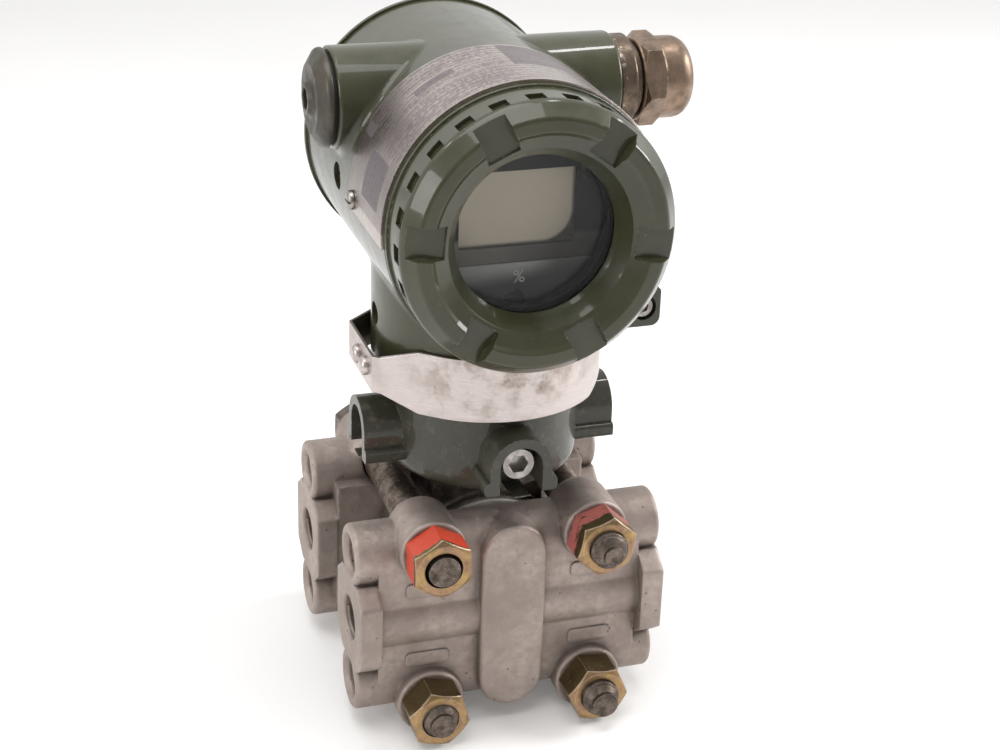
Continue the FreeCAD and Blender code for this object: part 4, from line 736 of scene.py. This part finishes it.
def threadedTip():
    # a cylinder along Z whose skin follows a helix, with a chamfer and a plain point at its end
    tree, given = nodeTree("threadedTip", radius="Float", length="Float", pitch="Float", depth="Float",
                           chamfer="Float", pointRadius="Float", pointLength="Float", sides="Int",
                           rings="Int", material="Material")
    radius, length = (given, "radius"), (given, "length")
    rod = add(tree, "GeometryNodeMeshCylinder", {
        "Vertices": (given, "sides"), "Side Segments": (given, "rings"), "Radius": radius, "Depth": length})
    place = add(tree, "split", add(tree, "GeometryNodeInputPosition"))[0]
    along = add(tree, "add", (place, 2), add(tree, "multiply", length, 0.5))
    turn = add(tree, "divide", add(tree, "arctan2", (place, 1), (place, 0)), 2 * math.pi)
    phase = add(tree, "add", turn, add(tree, "divide", along, (given, "pitch")))
    wave = add(tree, "multiply", add(tree, "pingpong", phase, 0.5), 2.0)
    groove = add(tree, "multiply", add(tree, "range", wave, *stud["waveLimits"]), (given, "depth"))
    threaded = add(tree, "subtract", radius, groove)
    pointStart = add(tree, "subtract", length, (given, "pointLength"))
    coneStart = add(tree, "subtract", pointStart, (given, "chamfer"))
    cone = add(tree, "ShaderNodeMapRange", {
        "Value": along, "From Min": coneStart, "From Max": pointStart, "To Min": radius,
        "To Max": (given, "pointRadius")})
    share = add(tree, "divide", add(tree, "minimum", threaded, cone), radius)
    moved = add(tree, "combine", add(tree, "multiply", (place, 0), share),
                add(tree, "multiply", (place, 1), share), along)
    shaped = add(tree, "GeometryNodeSetPosition", {"Geometry": rod, "Position": moved})
    return endTree(tree, shaped, (given, "material"))


def studPlace(side, level):
    # axis and front end of one stud, from its own vertices
    places = [vert.co for vert in nodes["flange_bolts"].data.vertices
              if vert.co.x * side > 0 and (vert.co.z - portZ) * level > 0]
    xs, ys, zs = ([place[axis] for place in places] for axis in range(3))
    return (min(xs) + max(xs)) / 2, min(ys), (min(zs) + max(zs)) / 2


def makeStuds(s):
    # the bolts' own shanks and heads, cut inside the nuts, with threaded tips in their place
    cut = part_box("flange_nuts")[0][1] + s["insideNut"]
    shape = bmesh.new()
    shape.from_mesh(nodes["flange_bolts"].data)
    bmesh.ops.remove_doubles(shape, verts=shape.verts, dist=s["weld"])
    everything = shape.verts[:] + shape.edges[:] + shape.faces[:]
    halved = bmesh.ops.bisect_plane(shape, geom=everything, plane_co=(0, cut, 0), plane_no=(0, -1, 0),
                                    clear_outer=True)
    rims = [item for item in halved["geom_cut"] if isinstance(item, bmesh.types.BMEdge)]
    bmesh.ops.holes_fill(shape, edges=rims, sides=0)
    bmesh.ops.recalc_face_normals(shape, faces=shape.faces)
    tree = threadedTip()
    for (side, level), pointRadius in sorted(s["points"].items()):
        x, end, z = studPlace(side, level)
        length = cut - end
        tip = grown("studTip", tree, bpy.data.meshes.new("studTip"), radius=s["radius"], length=length,
                    pitch=s["pitch"], depth=s["depth"], chamfer=s["chamfer"], pointRadius=pointRadius,
                    pointLength=s["pointLength"], sides=s["sides"], rings=int(length / s["ringLength"]),
                    material=studs)
        tip.transform(facingFront((x, cut, z)))
        shape.from_mesh(tip)
    mesh = bpy.data.meshes.new("threadedStuds")
    shape.to_mesh(mesh)
    shape.free()
    mesh.materials.append(studs)
    piece = inScene("threadedStuds", mesh)
    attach(piece, "transmitter")
    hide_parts("flange_bolts")
    print("studs threaded:", len(s["points"]))


# in metres, by the name that the record's mounts start with: radius, pitch and number of turns
hole = {
    "tapped": (0.00555, 0.00181, 6.0), "port": (0.0066, 0.00141, 9.0),
    "ridge": 0.0007, "proud": 0.0005, "inset": 0.0013, "steps": 40, "profileSides": 4,
}


def threadRidges():
    # one helical ridge on each given point, turned by the point's own rotation
    tree, given = nodeTree("threadRidges", radius="Float", pitch="Float", turns="Float", ridge="Float",
                           steps="Int", material="Material")
    height = add(tree, "multiply", (given, "pitch"), (given, "turns"))
    spiral = add(tree, "GeometryNodeCurveSpiral", {
        "Resolution": (given, "steps"), "Rotations": (given, "turns"), "Start Radius": (given, "radius"),
        "End Radius": (given, "radius"), "Height": height})
    upright = add(tree, "GeometryNodeSetCurveNormal", {"Curve": spiral}, mode="Z_UP")
    profile = add(tree, "GeometryNodeCurvePrimitiveCircle", {
        "Resolution": hole["profileSides"], "Radius": (given, "ridge")}, mode="RADIUS")
    ridge = add(tree, "GeometryNodeCurveToMesh", {
        "Curve": upright, "Profile Curve": profile, "Fill Caps": True})
    turn = add(tree, "GeometryNodeInputNamedAttribute", {"Name": "turn"}, data_type="FLOAT_VECTOR")
    copies = add(tree, "GeometryNodeInstanceOnPoints", {
        "Points": (given, "Geometry"), "Instance": ridge, "Rotation": turn})
    return endTree(tree, copies, (given, "material"))


def mouths(name, mounts, inset):
    # one vertex at the mouth of each hole, with the turn that points a ridge's Z into the hole
    mesh = bpy.data.meshes.new(name)
    halves = [mount["dims"]["length_mm"] / (2 * metre) - inset for mount in mounts]
    places = [Vector(mount["pos_m"]) + Vector(mount["axis"]) * half for mount, half in zip(mounts, halves)]
    mesh.from_pydata(places, [], [])
    turns = mesh.attributes.new("turn", "FLOAT_VECTOR", "POINT")
    for k, mount in enumerate(mounts):
        inward = -Vector(mount["axis"])
        turns.data[k].vector = inward.to_track_quat("Z", "Y").to_euler()
    return mesh


def makeHoleThreads(h):
    tree = threadRidges()
    for prefix, name in (("tapped", "tappedThreads"), ("port", "portThreads")):
        radius, pitch, turns = h[prefix]
        mounts = [m for m in frame["record"]["mounts"] if m["name"].startswith(prefix + "_")]
        mesh = grown(name, tree, mouths(name, mounts, h["inset"]), radius=radius + h["ridge"] - h["proud"],
                     pitch=pitch, turns=turns, ridge=h["ridge"], steps=h["steps"], material=castings)
        piece = inScene(name, mesh)
        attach(piece, "transmitter")
        print("threads made:", name, len(mounts))


# in metres, from the middle of the drum
sign = {
    "text": "%", "height": 0.0052, "across": 0.0008, "drop": 0.0174, "thick": 0.00005, "steps": 6,
    "ink": ("pale printing ink", "f2f0ee", "dddbd9", 1.5, 0.5, 0.005),
}


def makeSign(s):
    # the printed unit under the panel, on the display's raised strip
    letter = bpy.data.curves.new("unitSign", "FONT")
    letter.body = s["text"]
    letter.size = s["height"]
    letter.align_x = "CENTER"
    letter.align_y = "CENTER"
    letter.extrude = s["thick"]
    letter.resolution_u = s["steps"]
    mesh = toMesh(inScene("unitSign", letter), "unitSign")
    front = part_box("display_bezel")[0][1] - s["thick"]
    mesh.transform(facingFront((s["across"], front, housingZ - s["drop"])))
    mesh.materials.clear()
    mesh.materials.append(plainFinish(*s["ink"]))
    piece = inScene("unitSign", mesh)
    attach(piece, "transmitter")
    print("sign placed")


makeStuds(stud)
makeHoleThreads(hole)
makeSign(sign)

studio = {
    "white": "ffffff", "floorColour": "f8f7f6", "floorSecond": "f0efed", "floorSize": 6.0,
    "floorRough": 0.75,
    "floorTone": (120.0, 2.0, 0.5, 0.3, 0.7, 0.0, 0.3), "floorGrain": (2.0, 2.0, 0.5), "grainMm": 0.02,
    "floorLift": 0.12, "worldStrength": 0.42, "behindStrength": 1.0, "behindLimits": (-0.35, 0.4),
    "aim": (0, 0, 0.1),
    # place, size and watts: a large one overhead, one from each side and two small ones for glints
    "lamps": (
        ((-0.2, -0.1, 1.25), 0.9, 8.5),
        ((-1.1, -0.25, 0.5), 0.5, 4.3),
        ((0.9, -0.1, 0.5), 0.4, 7.0),
        ((0.3, 0.1, 0.9), 0.08, 0.5),
        ((-0.6, 0.2, 0.8), 0.08, 0.5),
    ),
}


def seen(tree, value):
    # the value for camera, glossy and transmission rays, and 0 for the rest
    light = add(tree, "ShaderNodeLightPath")[0]
    rays = add(tree, "maximum", (light, "Is Camera Ray"), (light, "Is Glossy Ray"))
    rays = add(tree, "maximum", rays, (light, "Is Transmission Ray"))
    return add(tree, "multiply", rays, value)


def makeFloor(s):
    half = s["floorSize"] / 2
    mesh = bpy.data.meshes.new("floor")
    corners = [(-half, -half, 0), (half, -half, 0), (half, half, 0), (-half, half, 0)]
    mesh.from_pydata(corners, [], [(0, 1, 2, 3)])
    floor = inScene("floor", mesh)
    material, tree, shader = startMaterial("matt studio floor", Roughness=s["floorRough"])
    place = add(tree, "place")
    colour = add(tree, "mix", pattern(tree, place, s["floorTone"]), s["floorColour"], s["floorSecond"])
    surface = add(tree, "bump", pattern(tree, place, s["floorGrain"]), s["grainMm"] / metre)
    join(tree, shader, colour, None, surface)
    # the camera, mirrors and glass see the floor lifted towards white, and it keeps its shadow
    shader.inputs["Emission Color"].default_value = linear(s["white"])
    tree.links.new(seen(tree, s["floorLift"])[0].outputs[0], shader.inputs["Emission Strength"])
    mesh.materials.append(material)


def makeWorld(s):
    # the room is bright behind the object and darker on the viewer's side
    world = bpy.data.worlds.new("studio")
    bpy.context.scene.world = world
    world.use_nodes = True
    tree = world.node_tree
    background = tree.nodes["Background"]
    background.inputs["Color"].default_value = linear(s["white"])
    direction = add(tree, "split", add(tree, "place"))[0]
    behind = add(tree, "range", (direction, 1), *s["behindLimits"])
    extra = add(tree, "multiply", behind, s["behindStrength"] - s["worldStrength"])
    strength = add(tree, "add", seen(tree, extra), s["worldStrength"])
    tree.links.new(strength[0].outputs[0], background.inputs["Strength"])


def makeLamps(s):
    for k, (place, size, watts) in enumerate(s["lamps"]):
        name = f"softbox{k + 1}"
        data = bpy.data.lights.new(name, "AREA")
        data.size = size
        data.energy = watts
        lamp = inScene(name, data)
        lamp.location = place
        lamp.rotation_euler = (Vector(s["aim"]) - Vector(place)).to_track_quat("-Z", "Y").to_euler()


# place in metres, angles in degrees, lens and film width in millimetres
camera = {
    "place": (-0.16175, -0.49745, 0.33634), "yaw": 18.72, "down": 24.74, "roll": 1.91,
    "lens": 70.1, "film": 36.0, "near": 0.01, "far": 50.0,
}


def makeCamera(c):
    yaw, down, roll = (math.radians(c[key]) for key in ("yaw", "down", "roll"))
    forward = Vector((math.sin(yaw) * math.cos(down), math.cos(yaw) * math.cos(down), -math.sin(down)))
    right = Vector((math.cos(yaw), -math.sin(yaw), 0))
    up = right.cross(forward)
    across = right * math.cos(roll) + up * math.sin(roll)
    upright = up * math.cos(roll) - right * math.sin(roll)
    data = bpy.data.cameras.new("camera")
    data.lens = c["lens"]
    data.sensor_width = c["film"]
    data.clip_start = c["near"]
    data.clip_end = c["far"]
    view = inScene("camera", data)
    turn = Matrix((across, upright, -forward)).transposed().to_4x4()
    view.matrix_world = Matrix.Translation(Vector(c["place"])) @ turn
    bpy.context.scene.camera = view


makeFloor(studio)
makeWorld(studio)
makeLamps(studio)
makeCamera(camera)
bpy.context.scene.view_settings.view_transform = "Standard"
print("studio ready")
